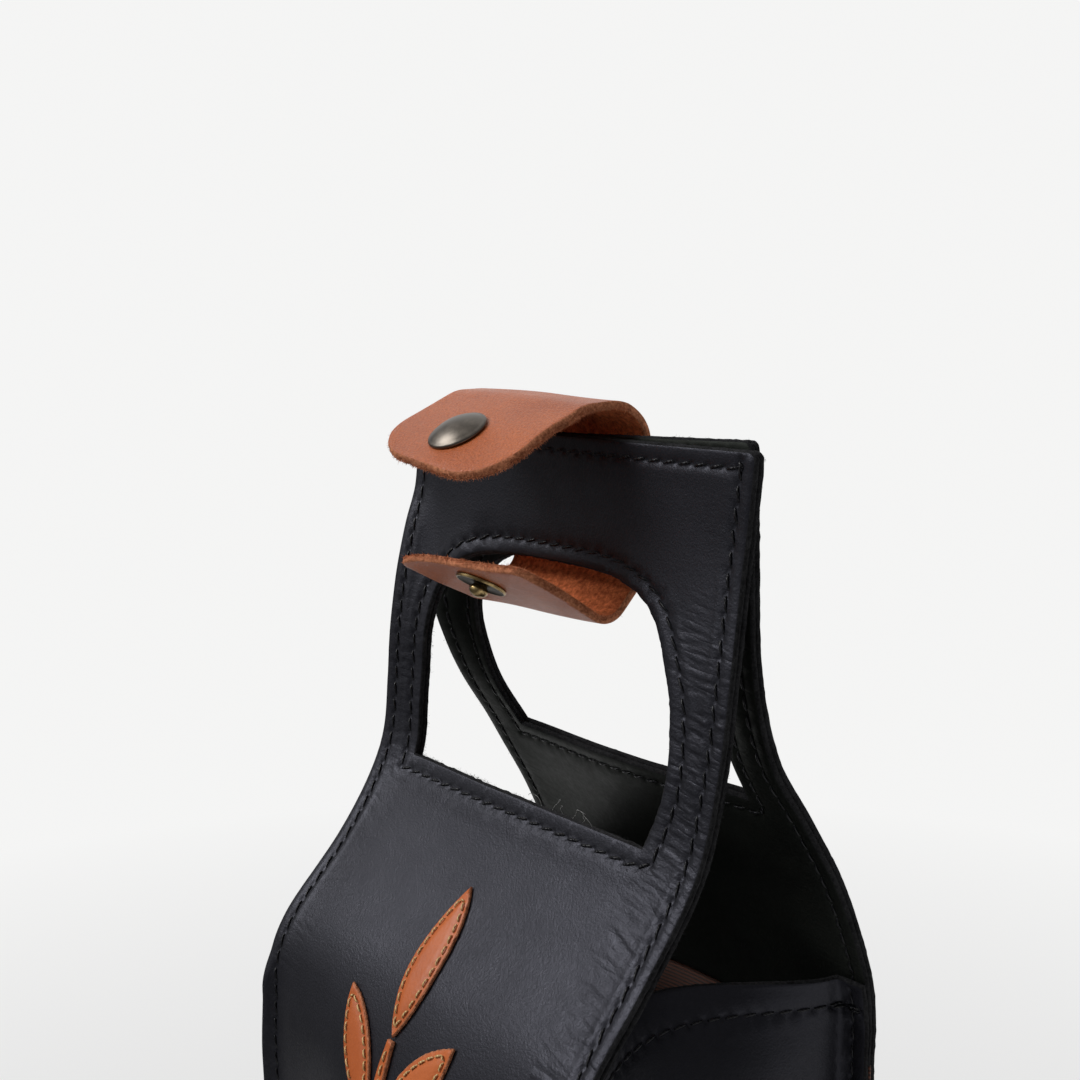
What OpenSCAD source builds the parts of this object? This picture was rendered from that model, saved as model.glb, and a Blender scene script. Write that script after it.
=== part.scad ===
// Leather carrier for one bottle: two S-curved panels joined by two gussets and a base,
// with a hand hole in each panel and a snap-closed wrap round the two handle bars.
// Origin: middle of the underside. X runs along the panels, -Y is the front, +Z is up.

/* [Bag] */
// Height from the floor to the panels' top edge
bag_h = 375; // [350:1:420]
// Width of the front and back panels
bag_w = 100; // [96:1:116]
// Depth over the two panels, low down
bag_d = 97; // [90:1:110]
// Height over which the panels spread from the handles to the full depth
spread_h = 140; // [132:1:160]
// Thickness of the outer leather and of the facing
leather_t = 1.3; // [1:0.1:1.5]
// Thickness of the lining cloth
cloth_t = 0.6; // [0.4:0.1:0.8]
// Distance between the outer faces of the two handles at the top edge
handles_t = 6.4; // [6.2:0.1:6.8]
// How far the handles stand behind the middle of the bag
handle_lean = 2.5; // [0:0.5:5]
// Radius of the panels' top corners
top_corner_r = 2; // [1.5:0.5:8]

/* [Hand hole] */
// Height of leather above the hole, which is the handle bar
bar_h = 25.5; // [24.5:0.5:26]
// Height of the front hole
hole_h = 48.5; // [42:0.5:54]
// Height of the back hole, which is cut alike but lies in a steeper panel
back_hole_h = 45; // [40:0.5:50]
// Width of the hole at its widest
hole_w = 76.8; // [74:0.4:80]
// Width of the hole at its flat bottom
hole_foot_w = 73.4; // [68:0.4:74]
// Height of the hole's arched top
hole_arch_h = 22; // [18:1:26]

/* [Gussets] */
// Distance from the panels' top edge down to the gussets' top edge
gusset_drop = 113; // [109:1:125]
// Thickness of the gussets' leather
gusset_t = 1.3; // [1:0.1:1.5]
// Width of the flange that is sewn to the panels
flange_w = 7; // [6:0.5:9]
// How far the gussets' top edges bow inwards
gusset_bow = 20; // [8:1:22]
// Height over which that bow dies out
gusset_bow_h = 42; // [30:1:60]
// Distance from the gussets' top edge down to their lining
hem_h = 1.5; // [1:0.5:4]

/* [Base] */
// Thickness of the base leather
base_t = 1.6; // [1.2:0.1:2]
// Height of the base leather's turned-up rim
base_rim_h = 8; // [6:0.5:12]
// Thickness of the stiffening board on the base
board_t = 2; // [1.5:0.1:3]

/* [Wrap] */
// Width of the wrap along the handles
wrap_w = 41; // [36:1:42]
// Thickness of the wrap's leather
wrap_t = 2; // [1.8:0.1:2.1]
// Place of the wrap's middle along the handles
wrap_x = -3; // [-3:0.5:1]
// Slope of the upper flap as it stands open
upper_slope = 22; // [18:1:26]
// Slope of the lower flap as it stands open
lower_slope = 28.5; // [26:0.5:32]
// Length of the upper flap from its bend
upper_flap_l = 25; // [23.5:0.5:27]
// Length of the lower flap past its curl
lower_flap_l = 26.5; // [24:0.5:28]
// Radius of the upper flap's corners
upper_corner_r = 9; // [5:0.5:12]
// Radius of the lower flap's corners
lower_corner_r = 3; // [2:0.5:6]

/* [Snap] */
// Radius of the snap's cap
cap_r = 6.25; // [5.5:0.05:7]
// Height of the cap's dome
cap_h = 2.6; // [2:0.1:3]
// Radius of the socket behind the cap
socket_r = 5.2; // [4.8:0.1:6]
// Height of the socket
socket_h = 3; // [3:0.1:3.4]
// Radius of the stud's flange
stud_r = 5.1; // [4.5:0.1:6]
// Distance of the stud from the lower flap's curl
stud_along = 17.9; // [17:0.1:19]

/* [Sprig] */
// Height of the sewn leather motif
sprig_h = 128; // [100:1:150]
// Length of its largest leaves
leaf_l = 25; // [20:0.5:28]
// Width of those leaves
leaf_w = 8.4; // [7:0.1:9.5]
// Thickness of the motif's leather
sprig_t = 1.1; // [0.8:0.1:1.4]
// Number of leaf pairs on the stem
leaf_pairs = 5; // [3:1:5]

/* [Hidden] */
$fn = 48;

// Overrun of every cut
over = 1;
// Gap between sewn layers that only lie against each other
lay_gap = 0.15;
// Gap between pieces that pass each other
pass_gap = 0.4;

// Share of the spread's height, and share of the spread that the panel has reached there
front_spread_shares = [
  [0, 0], [0.15, 0.008], [0.3, 0.07], [0.414, 0.14], [0.536, 0.252],
  [0.657, 0.5], [0.771, 0.785], [0.893, 0.955], [1, 1]
];
back_spread_shares = [
  [0, 0], [0.15, 0.01], [0.3, 0.035], [0.414, 0.136], [0.536, 0.36],
  [0.657, 0.62], [0.771, 0.82], [0.893, 0.965], [1, 1]
];
// Steps of the panels' curve, and the steps that the facing covers
curve_steps = 28;
facing_steps = 26;
arc_steps = 12;
bow_steps = 14;
bow_rows = 7;

half_handles = handles_t / 2;
front_reach = bag_d / 2 + handle_lean;
back_reach = bag_d / 2 - handle_lean;
hole_foot_z = bag_h - bar_h - hole_h;
gusset_h = bag_h - gusset_drop;
fold_x = bag_w / 2 - flange_w;
inner_d = bag_d - 2 * leather_t;

// How sharply the gussets' bow gathers in the middle of their top edge
bow_power = 1.4;

// Smooth curve through a table of [place, value] pairs, level at both ends
function step_of(t, s, i = 0) = i >= len(t) - 2 || s <= t[i + 1][0] ? i : step_of(t, s, i + 1);
function slope_at(t, i) =
  i == 0 || i == len(t) - 1 ? 0 : (t[i + 1][1] - t[i - 1][1]) / (t[i + 1][0] - t[i - 1][0]);
function curve_at(t, s) =
  let (i = step_of(t, s), d = t[i + 1][0] - t[i][0], u = (s - t[i][0]) / d)
  t[i][1] * (1 + 2 * u) * (1 - u) * (1 - u) + slope_at(t, i) * d * u * (1 - u) * (1 - u)
  + t[i + 1][1] * u * u * (3 - 2 * u) - slope_at(t, i + 1) * d * u * u * (1 - u);

// Distance of a panel's outer face from the plane where the handles meet, at a share of the spread
function reach_at(t, reach, s) =
  half_handles + (reach - half_handles) * curve_at(t, min(max(s, 0), 1));
// The panel's tilt there, as run over fall
function tilt_at(t, reach, s) =
  let (e = 0.01)
  (reach_at(t, reach, s + e) - reach_at(t, reach, s - e)) / (2 * e * spread_h);
// Point of the panel's section, a given depth inside its outer face
function section_at(t, reach, s, depth) =
  let (k = s <= 0 || s >= 1 ? 0 : tilt_at(t, reach, s), n = sqrt(1 + k * k))
  [reach_at(t, reach, s) - depth / n, bag_h - s * spread_h - depth * k / n];
function section_line(t, reach, depth, from, to) =
  [for (i = [from:to]) section_at(t, reach, i / curve_steps, depth)];
// Section of a layer between two depths, down to the floor unless it stops at a step
function layer(t, reach, outer, inner, from, to, foot) =
  let (
    a = section_line(t, reach, outer, from, to),
    b = section_line(t, reach, inner, from, to),
    end = foot < 0 ? [] : [[reach - outer, foot], [reach - inner, foot]],
    back = [for (i = [len(b) - 1:-1:0]) b[i]]
  )
  concat(a, end, back);

// Extrudes a section in Y and Z along X
module along_x(width) {
  rotate([90, 0, 90]) linear_extrude(height = width, center = true) children();
}

// Extrudes an outline in X and Z through the whole depth
module along_y(depth) {
  rotate([90, 0, 0]) linear_extrude(height = depth, center = true) children();
}

// A curved layer of the front or the back
module front_sheet(outer, inner, from, to, foot, width) {
  translate([0, handle_lean, 0]) along_x(width)
    polygon([for (p = layer(front_spread_shares, front_reach, outer, inner, from, to, foot)) [-p[0], p[1]]]);
}

module back_sheet(outer, inner, from, to, foot, width) {
  translate([0, handle_lean, 0]) along_x(width)
    polygon(layer(back_spread_shares, back_reach, outer, inner, from, to, foot));
}

// Outline of a panel with its rounded top corners
module panel_outline() {
  r = top_corner_r;
  translate([-bag_w / 2, 0]) square([bag_w, bag_h - r]);
  translate([r - bag_w / 2, 0]) square([bag_w - 2 * r, bag_h]);
  for (side = [-1, 1]) translate([side * (bag_w / 2 - r), bag_h - r]) circle(r);
}

// Outline of a hand hole: an arched top over slightly tapering sides and a flat foot
module hole_outline(height) {
  top = bag_h - bar_h;
  arch = [for (i = [-arc_steps:arc_steps])
    let (a = 90 * i / arc_steps)
    [sign(i) * hole_w / 2 * sqrt(abs(sin(a))), top - hole_arch_h * (1 - cos(a))]];
  polygon(concat([[-hole_foot_w / 2, top - height]], arch, [[hole_foot_w / 2, top - height]]));
}

module cut_to_panel(height) {
  intersection() {
    children();
    along_y(2 * bag_d) difference() {
      panel_outline();
      hole_outline(height);
    }
  }
}

module front_panel() {
  color("#26262a") cut_to_panel(hole_h) front_sheet(0, leather_t, 0, curve_steps, 0, bag_w);
}

module back_panel() {
  color("#26262a") cut_to_panel(back_hole_h) back_sheet(0, leather_t, 0, curve_steps, 0, bag_w);
}

module front_facing() {
  color("#1f1f22") cut_to_panel(hole_h)
    front_sheet(leather_t, 2 * leather_t, 0, facing_steps, -1, bag_w);
}

module back_facing() {
  color("#1f1f22") cut_to_panel(back_hole_h)
    back_sheet(leather_t, 2 * leather_t, 0, facing_steps, -1, bag_w);
}

module front_lining() {
  color("#7a3b24")
    front_sheet(leather_t, leather_t + cloth_t, facing_steps, curve_steps, base_rim_h + pass_gap, bag_w);
}

module back_lining() {
  color("#7a3b24")
    back_sheet(leather_t, leather_t + cloth_t, facing_steps, curve_steps, base_rim_h + pass_gap, bag_w);
}

// Depth of the flange's middle inside the panel's outer face: past the leather and the facing
flange_depth = 2 * leather_t + lay_gap + gusset_t / 2;

// Place in Y of the flange's middle at a height, in front and behind
function share_of(z) = (bag_h - z) / spread_h;
// A level cut through a tilted layer is thicker than the layer
function level_depth(t, reach, z, depth) =
  let (s = share_of(z), k = s >= 1 ? 0 : tilt_at(t, reach, s)) depth * sqrt(1 + k * k);
function front_y(z, depth) =
  handle_lean - reach_at(front_spread_shares, front_reach, share_of(z))
  + level_depth(front_spread_shares, front_reach, z, depth);
function back_y(z, depth) =
  handle_lean + reach_at(back_spread_shares, back_reach, share_of(z))
  - level_depth(back_spread_shares, back_reach, z, depth);
function bow_at(z) = gusset_bow * pow(max(0, 1 - (gusset_h - z) / gusset_bow_h), 2);

// Heights of the lining's rows: close together in the bowed top, then straight down to its foot.
// The gusset has the same rows and one more at its top edge, so the two skins lie side by side.
function lining_rows(foot) =
  concat([for (i = [0:bow_rows]) gusset_h - hem_h - gusset_bow_h * i / bow_rows], [foot]);
// Plan of the wall between the two folds at one height, as [x, y] pairs, moved inwards by a depth
function wall_plan(z, depth) =
  let (a = front_y(z, flange_depth), b = back_y(z, flange_depth), bow = bow_at(z))
  [for (i = [0:bow_steps])
    let (u = i / bow_steps) [fold_x - bow * pow(sin(180 * u), bow_power) - depth, a + (b - a) * u]];
// Plan of the whole gusset: flange, fold, wall, fold, flange, on its outer or inner side
function gusset_plan(z, side) =
  let (
    h = side * gusset_t / 2,
    a = front_y(z, flange_depth), b = back_y(z, flange_depth),
    w = wall_plan(z, -h)
  )
  concat(
    [[bag_w / 2, a + h], [fold_x + abs(h) + h, a + h]],
    [for (i = [1:bow_steps - 1]) w[i]],
    [[fold_x + abs(h) + h, b - h], [bag_w / 2, b - h]]
  );

function reversed(list) = [for (i = [len(list) - 1:-1:0]) list[i]];

// Closed skin over rows of closed rings that have equally many points. A ring's second half runs back
// beside its first, so its triangles are cut the other way, and the two sides stay parallel.
function ring_faces(rows, count) = [
  for (r = [0:rows - 2], i = [0:count - 1])
    let (
      a = r * count + i, b = r * count + (i + 1) % count,
      c = (r + 1) * count + (i + 1) % count, d = (r + 1) * count + i
    )
    each (2 * i < count ? [[a, b, d], [b, c, d]] : [[a, b, c], [a, c, d]])
];
// Flat caps of a ring made of two parallel lines of points
function strip_cap(base, n, flip) = [
  for (i = [0:n - 2])
    let (a = base + i, b = base + i + 1, c = base + 2 * n - 2 - i, d = base + 2 * n - 1 - i)
    each (flip ? [[a, c, b], [a, d, c]] : [[a, b, c], [a, c, d]])
];

// Solid between two plans that change with height
module plan_solid(rows, outer, inner) {
  n = len(outer[0]);
  points = [for (r = [0:len(rows) - 1])
    each [for (p = concat(outer[r], reversed(inner[r]))) [p[0], p[1], rows[r]]]];
  polyhedron(
    points,
    concat(
      ring_faces(len(rows), 2 * n),
      strip_cap(0, n, true),
      strip_cap((len(rows) - 1) * 2 * n, n, false)
    )
  );
}

// Gusset leather on the right side
module gusset_form() {
  rows = concat([gusset_h], lining_rows(0));
  plan_solid(rows, [for (z = rows) gusset_plan(z, 1)], [for (z = rows) gusset_plan(z, -1)]);
}

// Lining of the right gusset's wall, between the folds
module gusset_lining_form() {
  rows = lining_rows(base_rim_h + pass_gap);
  near = gusset_t / 2 + lay_gap;
  plans = [for (d = [near, near + cloth_t])
    [for (z = rows) [for (i = [1:bow_steps - 1]) wall_plan(z, d)[i]]]];
  plan_solid(rows, plans[0], plans[1]);
}

module right_gusset() {
  color("#232327") gusset_form();
}

module left_gusset() {
  color("#232327") mirror([1, 0, 0]) gusset_form();
}

module right_gusset_lining() {
  color("#7a3b24") gusset_lining_form();
}

module left_gusset_lining() {
  color("#7a3b24") mirror([1, 0, 0]) gusset_lining_form();
}

// Base: a leather tray between the walls, with its rim turned up inside them
tray_w = 2 * (fold_x - gusset_t / 2 - lay_gap);
tray_d = inner_d - 2 * lay_gap;

module block(w, d, h, z) {
  translate([-w / 2, -d / 2, z]) cube([w, d, h]);
}

module base_panel() {
  color("#222225") difference() {
    block(tray_w, tray_d, base_rim_h, 0);
    block(tray_w - 2 * base_t, tray_d - 2 * base_t, base_rim_h, base_t);
  }
}

module base_board() {
  color("#8b7355")
    block(tray_w - 2 * (base_t + lay_gap), tray_d - 2 * (base_t + lay_gap), board_t, base_t);
}

module base_lining() {
  color("#7a3b24")
    block(tray_w - 2 * (base_t + lay_gap), tray_d - 2 * (base_t + lay_gap), cloth_t, base_t + board_t);
}

// Sewn motif: a stem with pairs of pointed leaves, standing proud of the front panel
sprig_top_z = hole_foot_z - 2 * leaf_w;
stem_share = 0.3;
stem_w = leaf_w * stem_share;
pair_step = (sprig_h - leaf_l) / leaf_pairs;
// How far down its own step a pair of leaves stands
pair_share = 0.75;
leaf_angle = 38;

// Pointed leaf standing on the origin: what two equal discs share
module leaf_outline(length, width) {
  r = (length * length / width + width) / 4;
  translate([0, length / 2]) intersection_for(side = [-1, 1])
    translate([side * (r - width / 2), 0]) circle(r, $fn = 96);
}

module onto_front() {
  intersection() {
    front_sheet(-sprig_t, 0, 0, curve_steps, 0, bag_w);
    along_y(2 * bag_d) translate([0, sprig_top_z]) children();
  }
}

module sprig_stem() {
  color("#a5532a") onto_front()
    translate([-stem_w / 2, -sprig_h]) square([stem_w, sprig_h - leaf_l - pass_gap]);
}

module sprig_leaves() {
  color("#a5532a") onto_front() {
    translate([0, -leaf_l]) leaf_outline(leaf_l, leaf_w);
    for (i = [0:leaf_pairs - 1], side = [-1, 1])
      translate([side * (stem_w / 2 + 2 * pass_gap), -leaf_l - pair_step * (i + pair_share)])
        rotate(-side * leaf_angle) leaf_outline(leaf_l, leaf_w);
  }
}

// The wrap's section lies in Y and Z, with Y from the plane of the handles and Z from their top edge
snap_gap = pass_gap / 2;
stud_flange_t = 0.6;
socket_plate_t = 0.5;
closed_stack = stud_flange_t + snap_gap + socket_h;
// Clear space between the front bar and the closed lower flap
bar_gap = 0.6;
front_bar_y = -reach_at(front_spread_shares, front_reach, bar_h / spread_h);
closed_lower_y = front_bar_y - bar_gap - wrap_t / 2;
closed_upper_y = closed_lower_y - wrap_t - closed_stack;

// The bend that the lower flap turns about, and how far its line passes under that bend
lower_bend_back = 1.4;
lower_bend_drop = 6.9;
lower_hinge = [lower_bend_back, -bar_h - lower_bend_drop];
curl_drop = lower_hinge[0] - closed_lower_y;
lower_range = 90 - lower_slope;
upper_range = 90 - upper_slope;
curl_in_slope = 45;
arch_slope = 25;
arch_r = 10;
rear_r = 3.5;
curl_r = 5;
// Gap between the wrap and the back bar, at the top edge and where it seats on the bar's foot
rear_top_gap = 3;
rear_seat_gap = 0.35;
// Room for the wrap to slide outwards, and how far down the arch the bar's foot reaches there
slide_room = 1;
wrap_far_x = abs(wrap_x) + wrap_w / 2 + slide_room;
arch_drop = hole_arch_h * (1 - cos(asin(min(1, pow(2 * wrap_far_x / hole_w, 2)))));
seat_h = bar_h + arch_drop;
rear_top = [half_handles + rear_top_gap + wrap_t / 2, 0];
rear_seat = [
  reach_at(back_spread_shares, back_reach, seat_h / spread_h) + rear_seat_gap + wrap_t / 2, -seat_h
];

function along(angle) = [-cos(angle), sin(angle)];
// A point turned about another by an angle that takes -Y towards -Z
function turned(p, about, angle) =
  let (d = p - about)
  about + [d[0] * cos(angle) - d[1] * sin(angle), d[0] * sin(angle) + d[1] * cos(angle)];
// Where two lines cross, each given by a point and a direction
function crossing(p, a, q, b) =
  let (k = a[0] * b[1] - a[1] * b[0], d = q - p) p + a * (d[0] * b[1] - d[1] * b[0]) / k;

lower_dir = along(lower_slope);
lower_foot = lower_hinge + curl_drop * [-sin(lower_slope), -cos(lower_slope)];
curl_corner = crossing(lower_hinge, along(-curl_in_slope), lower_foot, lower_dir);
lower_tip = curl_corner + lower_flap_l * lower_dir;
stud_place = curl_corner + stud_along * lower_dir;
closed_snap_z = turned(stud_place, lower_hinge, -lower_range)[1];
// The upper flap hangs straight down from its bend when it is closed, in front of the stud
upper_bend_rise = 4.4;
upper_hinge = [closed_upper_y, upper_bend_rise];
upper_dir = along(-upper_slope);
cap_along = upper_hinge[1] - closed_snap_z;
cap_place = upper_hinge + cap_along * upper_dir;
upper_tip = upper_hinge + upper_flap_l * upper_dir;
rear_dir = rear_top - rear_seat;
arch_corner = crossing(upper_hinge, along(180 - arch_slope), rear_top, rear_dir);
rear_corner = crossing(lower_hinge, along(-curl_in_slope), rear_top, rear_dir);

// Points along a round that a circle makes in the corner b of the line a, b, c
function unit(v) = v / norm(v);
function round_at(a, b, c, r) =
  let (
    u = unit(a - b), v = unit(c - b),
    half = acos(u * v) / 2,
    centre = b + unit(u + v) * r / sin(half),
    p = b + u * r / tan(half), q = b + v * r / tan(half),
    from = atan2(p[1] - centre[1], p[0] - centre[0]),
    turn = atan2(q[1] - centre[1], q[0] - centre[0]) - from,
    sweep = turn > 180 ? turn - 360 : turn < -180 ? turn + 360 : turn
  )
  [for (i = [0:arc_steps])
    centre + r * [cos(from + sweep * i / arc_steps), sin(from + sweep * i / arc_steps)]];
// Section of a strap along a line of points
function side_of(line, i) =
  let (
    a = unit(line[min(i + 1, len(line) - 1)] - line[max(i - 1, 0)])
  )
  [-a[1], a[0]];
function strap_section(line, t) = concat(
  [for (i = [0:len(line) - 1]) line[i] + side_of(line, i) * t / 2],
  reversed([for (i = [0:len(line) - 1]) line[i] - side_of(line, i) * t / 2])
);

// Room round a bend: the strap behind it ends in a bead, and the flap starts clear of that bead
bead_r = wrap_t / 2;
flap_start = bead_r + pass_gap;

rear_line = concat(
  [upper_hinge],
  round_at(upper_hinge, arch_corner, rear_corner, arch_r),
  round_at(arch_corner, rear_corner, lower_hinge, rear_r),
  [lower_hinge]
);
upper_line = [upper_hinge, upper_tip];
lower_line = concat([lower_hinge], round_at(lower_hinge, curl_corner, lower_tip, curl_r), [lower_tip]);

// Puts the wrap's own section coordinates at the handles
module at_handles() {
  translate([wrap_x, handle_lean, bag_h]) children();
}

module bead(place, r, width) {
  translate([0, place[0], place[1]]) rotate([0, 90, 0]) cylinder(r = r, h = width, center = true);
}

// Sets a piece on a flap with its own +Z along the flap's outward side
module on_upper_flap() {
  at_handles() translate([0, cap_place[0], cap_place[1]]) rotate([upper_slope, 0, 0]) children();
}

module on_lower_flap() {
  at_handles() translate([0, stud_place[0], stud_place[1]]) rotate([180 - lower_slope, 0, 0]) children();
}

module wrap_back() {
  color("#a8552b") at_handles() {
    along_x(wrap_w) polygon(strap_section(rear_line, wrap_t));
    bead(upper_hinge, bead_r, wrap_w);
    bead(lower_hinge, bead_r, wrap_w);
  }
}

// Plan of a flap, from its bend to its rounded corners
module flap_outline(length, r) {
  translate([-wrap_w / 2, 0]) square([wrap_w, length - r]);
  translate([r - wrap_w / 2, 0]) square([wrap_w - 2 * r, length]);
  for (side = [-1, 1]) translate([side * (wrap_w / 2 - r), length - r]) circle(r);
}

cap_stem_r = 1.8;
post_stem_r = 1.5;
stem_gap = 0.1;
post_r = 4.4;
post_t = 0.35;

// Cuts away all that lies past the flap's own rounded end
module cut_to_flap(hinge, slope, length, r) {
  intersection() {
    children();
    translate([0, hinge[0], hinge[1]]) rotate([slope, 0, 0]) rotate([0, 0, 180])
      translate([0, 0, -length]) linear_extrude(height = 2 * length)
        union() {
          flap_outline(length, r);
          translate([-wrap_w / 2, -length]) square([wrap_w, 1.5 * length]);
        }
  }
}

module upper_flap() {
  color("#a8552b") difference() {
    at_handles() difference() {
      cut_to_flap(upper_hinge, upper_slope, upper_flap_l, upper_corner_r)
        along_x(wrap_w) polygon(strap_section(upper_line, wrap_t));
      bead(upper_hinge, flap_start, wrap_w + 2 * over);
    }
    on_upper_flap() cylinder(r = cap_stem_r + stem_gap, h = 2 * wrap_t, center = true);
  }
}

// Length of the lower flap along its line, from the point below its bend
lower_reach = norm(lower_tip - lower_foot);

module lower_flap() {
  color("#a8552b") difference() {
    at_handles() difference() {
      cut_to_flap(lower_foot, -lower_slope, lower_reach, lower_corner_r)
        along_x(wrap_w) polygon(strap_section(lower_line, wrap_t));
      bead(lower_hinge, flap_start, wrap_w + 2 * over);
    }
    on_lower_flap() cylinder(r = post_stem_r + stem_gap, h = 2 * wrap_t, center = true);
  }
}

// Dome of the cap over a straight brim, with the stem that holds the socket
brim_h = 0.6;

module snap_cap() {
  dome_h = cap_h - brim_h;
  dome_r = (cap_r * cap_r + dome_h * dome_h) / (2 * dome_h);
  color("#4a3b30") on_upper_flap() {
    translate([0, 0, wrap_t / 2]) {
      cylinder(r = cap_r, h = brim_h);
      intersection() {
        translate([0, 0, cap_h - dome_r]) sphere(dome_r, $fn = 96);
        cylinder(r = cap_r, h = cap_h);
      }
    }
    translate([0, 0, -wrap_t / 2 - socket_plate_t]) cylinder(r = cap_stem_r, h = wrap_t + socket_plate_t + brim_h);
  }
}

// Cavity that the stud's knob enters
knob_r = 1.9;
cavity_r = knob_r + 1.5 * pass_gap;
cavity_h = socket_h - socket_plate_t;
spring_wire_r = 0.3;
spring_place = cavity_r - spring_wire_r;
spring_l = 2 * (socket_r - 3 * spring_wire_r);
spring_depth_share = 0.72;
spring_depth = socket_h * spring_depth_share;

module spring_wires(r, length) {
  for (side = [-1, 1])
    translate([0, side * spring_place, -wrap_t / 2 - spring_depth])
      rotate([0, 90, 0]) cylinder(r = r, h = length, center = true);
}

module snap_socket() {
  color("#5a4632") on_upper_flap() difference() {
    translate([0, 0, -wrap_t / 2 - socket_h]) cylinder(r = socket_r, h = socket_h);
    translate([0, 0, -wrap_t / 2 - socket_h - over]) cylinder(r = cavity_r, h = cavity_h + over);
    translate([0, 0, -wrap_t / 2 - socket_h]) cylinder(r = cap_stem_r + stem_gap, h = socket_h + over);
    spring_wires(spring_wire_r + stem_gap / 2, spring_l + stem_gap);
  }
}

module socket_spring() {
  color("#b8b8b8") on_upper_flap() spring_wires(spring_wire_r, spring_l);
}

// Stud: a flat flange with a waisted knob
neck_share = 0.74;
knob_share = 0.62;
// The knob is fuller below its widest ring than above it
knob_root_share = 1.4;

module snap_stud() {
  neck_r = knob_r * neck_share;
  knob_top = socket_h + stud_flange_t - socket_plate_t - snap_gap;
  knob_mid = knob_top - knob_r * knob_share;
  color("#8f7440") on_lower_flap() translate([0, 0, wrap_t / 2]) rotate_extrude()
    polygon(concat(
      [[0, 0], [stud_r, 0], [stud_r, stud_flange_t], [neck_r, stud_flange_t]],
      [for (i = [-4:arc_steps])
        let (a = 90 * i / arc_steps)
        [knob_r * cos(a), knob_mid + (knob_top - knob_mid) * sin(a) * (i < 0 ? knob_root_share : 1)]]
    ));
}

// Post: a flat head on the flesh side, with a stem through the leather to the stud
module snap_post() {
  color("#5a4632") on_lower_flap() {
    translate([0, 0, -wrap_t / 2 - post_t]) cylinder(r = post_r, h = post_t);
    translate([0, 0, -wrap_t / 2 - post_t]) cylinder(r = post_stem_r, h = wrap_t + post_t);
  }
}

front_panel();
back_panel();
front_facing();
back_facing();
front_lining();
back_lining();
left_gusset();
right_gusset();
left_gusset_lining();
right_gusset_lining();
base_panel();
base_board();
base_lining();
sprig_stem();
sprig_leaves();
wrap_back();
upper_flap();
lower_flap();
snap_cap();
snap_socket();
socket_spring();
snap_stud();
snap_post();
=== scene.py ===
# Looks of the leather bottle carrier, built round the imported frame.
# Shapes are worked out in millimetres and become metres when a mesh is made.

import math
from functools import partial

import bpy
import numpy as np
from mathutils import Matrix, Vector
from mathutils.geometry import delaunay_2d_cdt


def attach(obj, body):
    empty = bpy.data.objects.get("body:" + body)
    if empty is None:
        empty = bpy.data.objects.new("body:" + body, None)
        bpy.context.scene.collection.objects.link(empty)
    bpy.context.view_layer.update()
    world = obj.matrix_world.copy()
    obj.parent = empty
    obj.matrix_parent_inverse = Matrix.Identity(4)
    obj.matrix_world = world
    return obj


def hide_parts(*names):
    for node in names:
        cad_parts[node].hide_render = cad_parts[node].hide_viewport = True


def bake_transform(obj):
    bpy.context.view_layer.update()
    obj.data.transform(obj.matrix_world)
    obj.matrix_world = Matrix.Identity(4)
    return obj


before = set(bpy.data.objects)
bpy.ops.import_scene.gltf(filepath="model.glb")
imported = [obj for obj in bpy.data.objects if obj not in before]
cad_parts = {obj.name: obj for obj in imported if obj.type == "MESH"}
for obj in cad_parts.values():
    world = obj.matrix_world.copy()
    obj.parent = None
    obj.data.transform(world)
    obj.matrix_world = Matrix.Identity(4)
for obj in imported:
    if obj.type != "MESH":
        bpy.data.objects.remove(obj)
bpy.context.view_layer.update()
MM = 0.001

# The carrier's sizes, as the frame has them
BAG_H, HALF_W, HALF_D = 375.0, 50.0, 48.5
LEAN, SPREAD_H, HALF_HANDLES = 2.5, 140.0, 3.2
LEATHER, CLOTH, LAY_GAP = 1.3, 0.6, 0.15
TOP_R = 1.8
GUSSET_DROP, GUSSET_T, FLANGE_W, FOLD_R = 113.0, 1.3, 7.0, 1.8
BOW, BOW_H = 20.0, 42.0
FACING_DROP = 131.0
BASE_T, BASE_RIM, RIM_GAP = 1.6, 8.0, 0.4
FRONT, BACK = -1, 1
REACH = {FRONT: HALF_D + LEAN, BACK: HALF_D - LEAN}
SPREAD_AT = (0, 0.15, 0.3, 0.414, 0.536, 0.657, 0.771, 0.893, 1)
SPREAD = {FRONT: (0, 0.010, 0.095, 0.158, 0.254, 0.49, 0.785, 0.958, 1),
          BACK: (0, 0.010, 0.035, 0.136, 0.36, 0.62, 0.82, 0.965, 1)}
PITCH, INSET, THREAD_DEPTH = 3.9, 3.3, 0.12
HOLE_FOOT = 74.0
rng = np.random.default_rng(7)


# ---- shapes ----

def smooth(v):
    v = np.clip(v, 0, 1)
    return v * v * (3 - 2 * v)


def unit(v):
    return v / np.linalg.norm(v, axis=-1)[..., None]


def floats(*values):
    return np.broadcast_arrays(*(np.asarray(v, float) for v in values))


def curve_at(table, s):
    """Smooth curve through (place, value) pairs, level at both ends."""
    k, v = np.array([*table], float).T
    m = np.zeros(len(k))
    m[1:-1] = (v[2:] - v[:-2]) / (k[2:] - k[:-2])
    s = np.clip(s, k[0], k[-1])
    i = np.clip(np.searchsorted(k, s) - 1, 0, len(k) - 2)
    d = k[i + 1] - k[i]
    u = (s - k[i]) / d
    return (v[i] * (1 + 2 * u) * (1 - u) ** 2 + m[i] * d * u * (1 - u) ** 2
            + v[i + 1] * u * u * (3 - 2 * u) - m[i + 1] * d * u * u * (1 - u))


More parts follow.
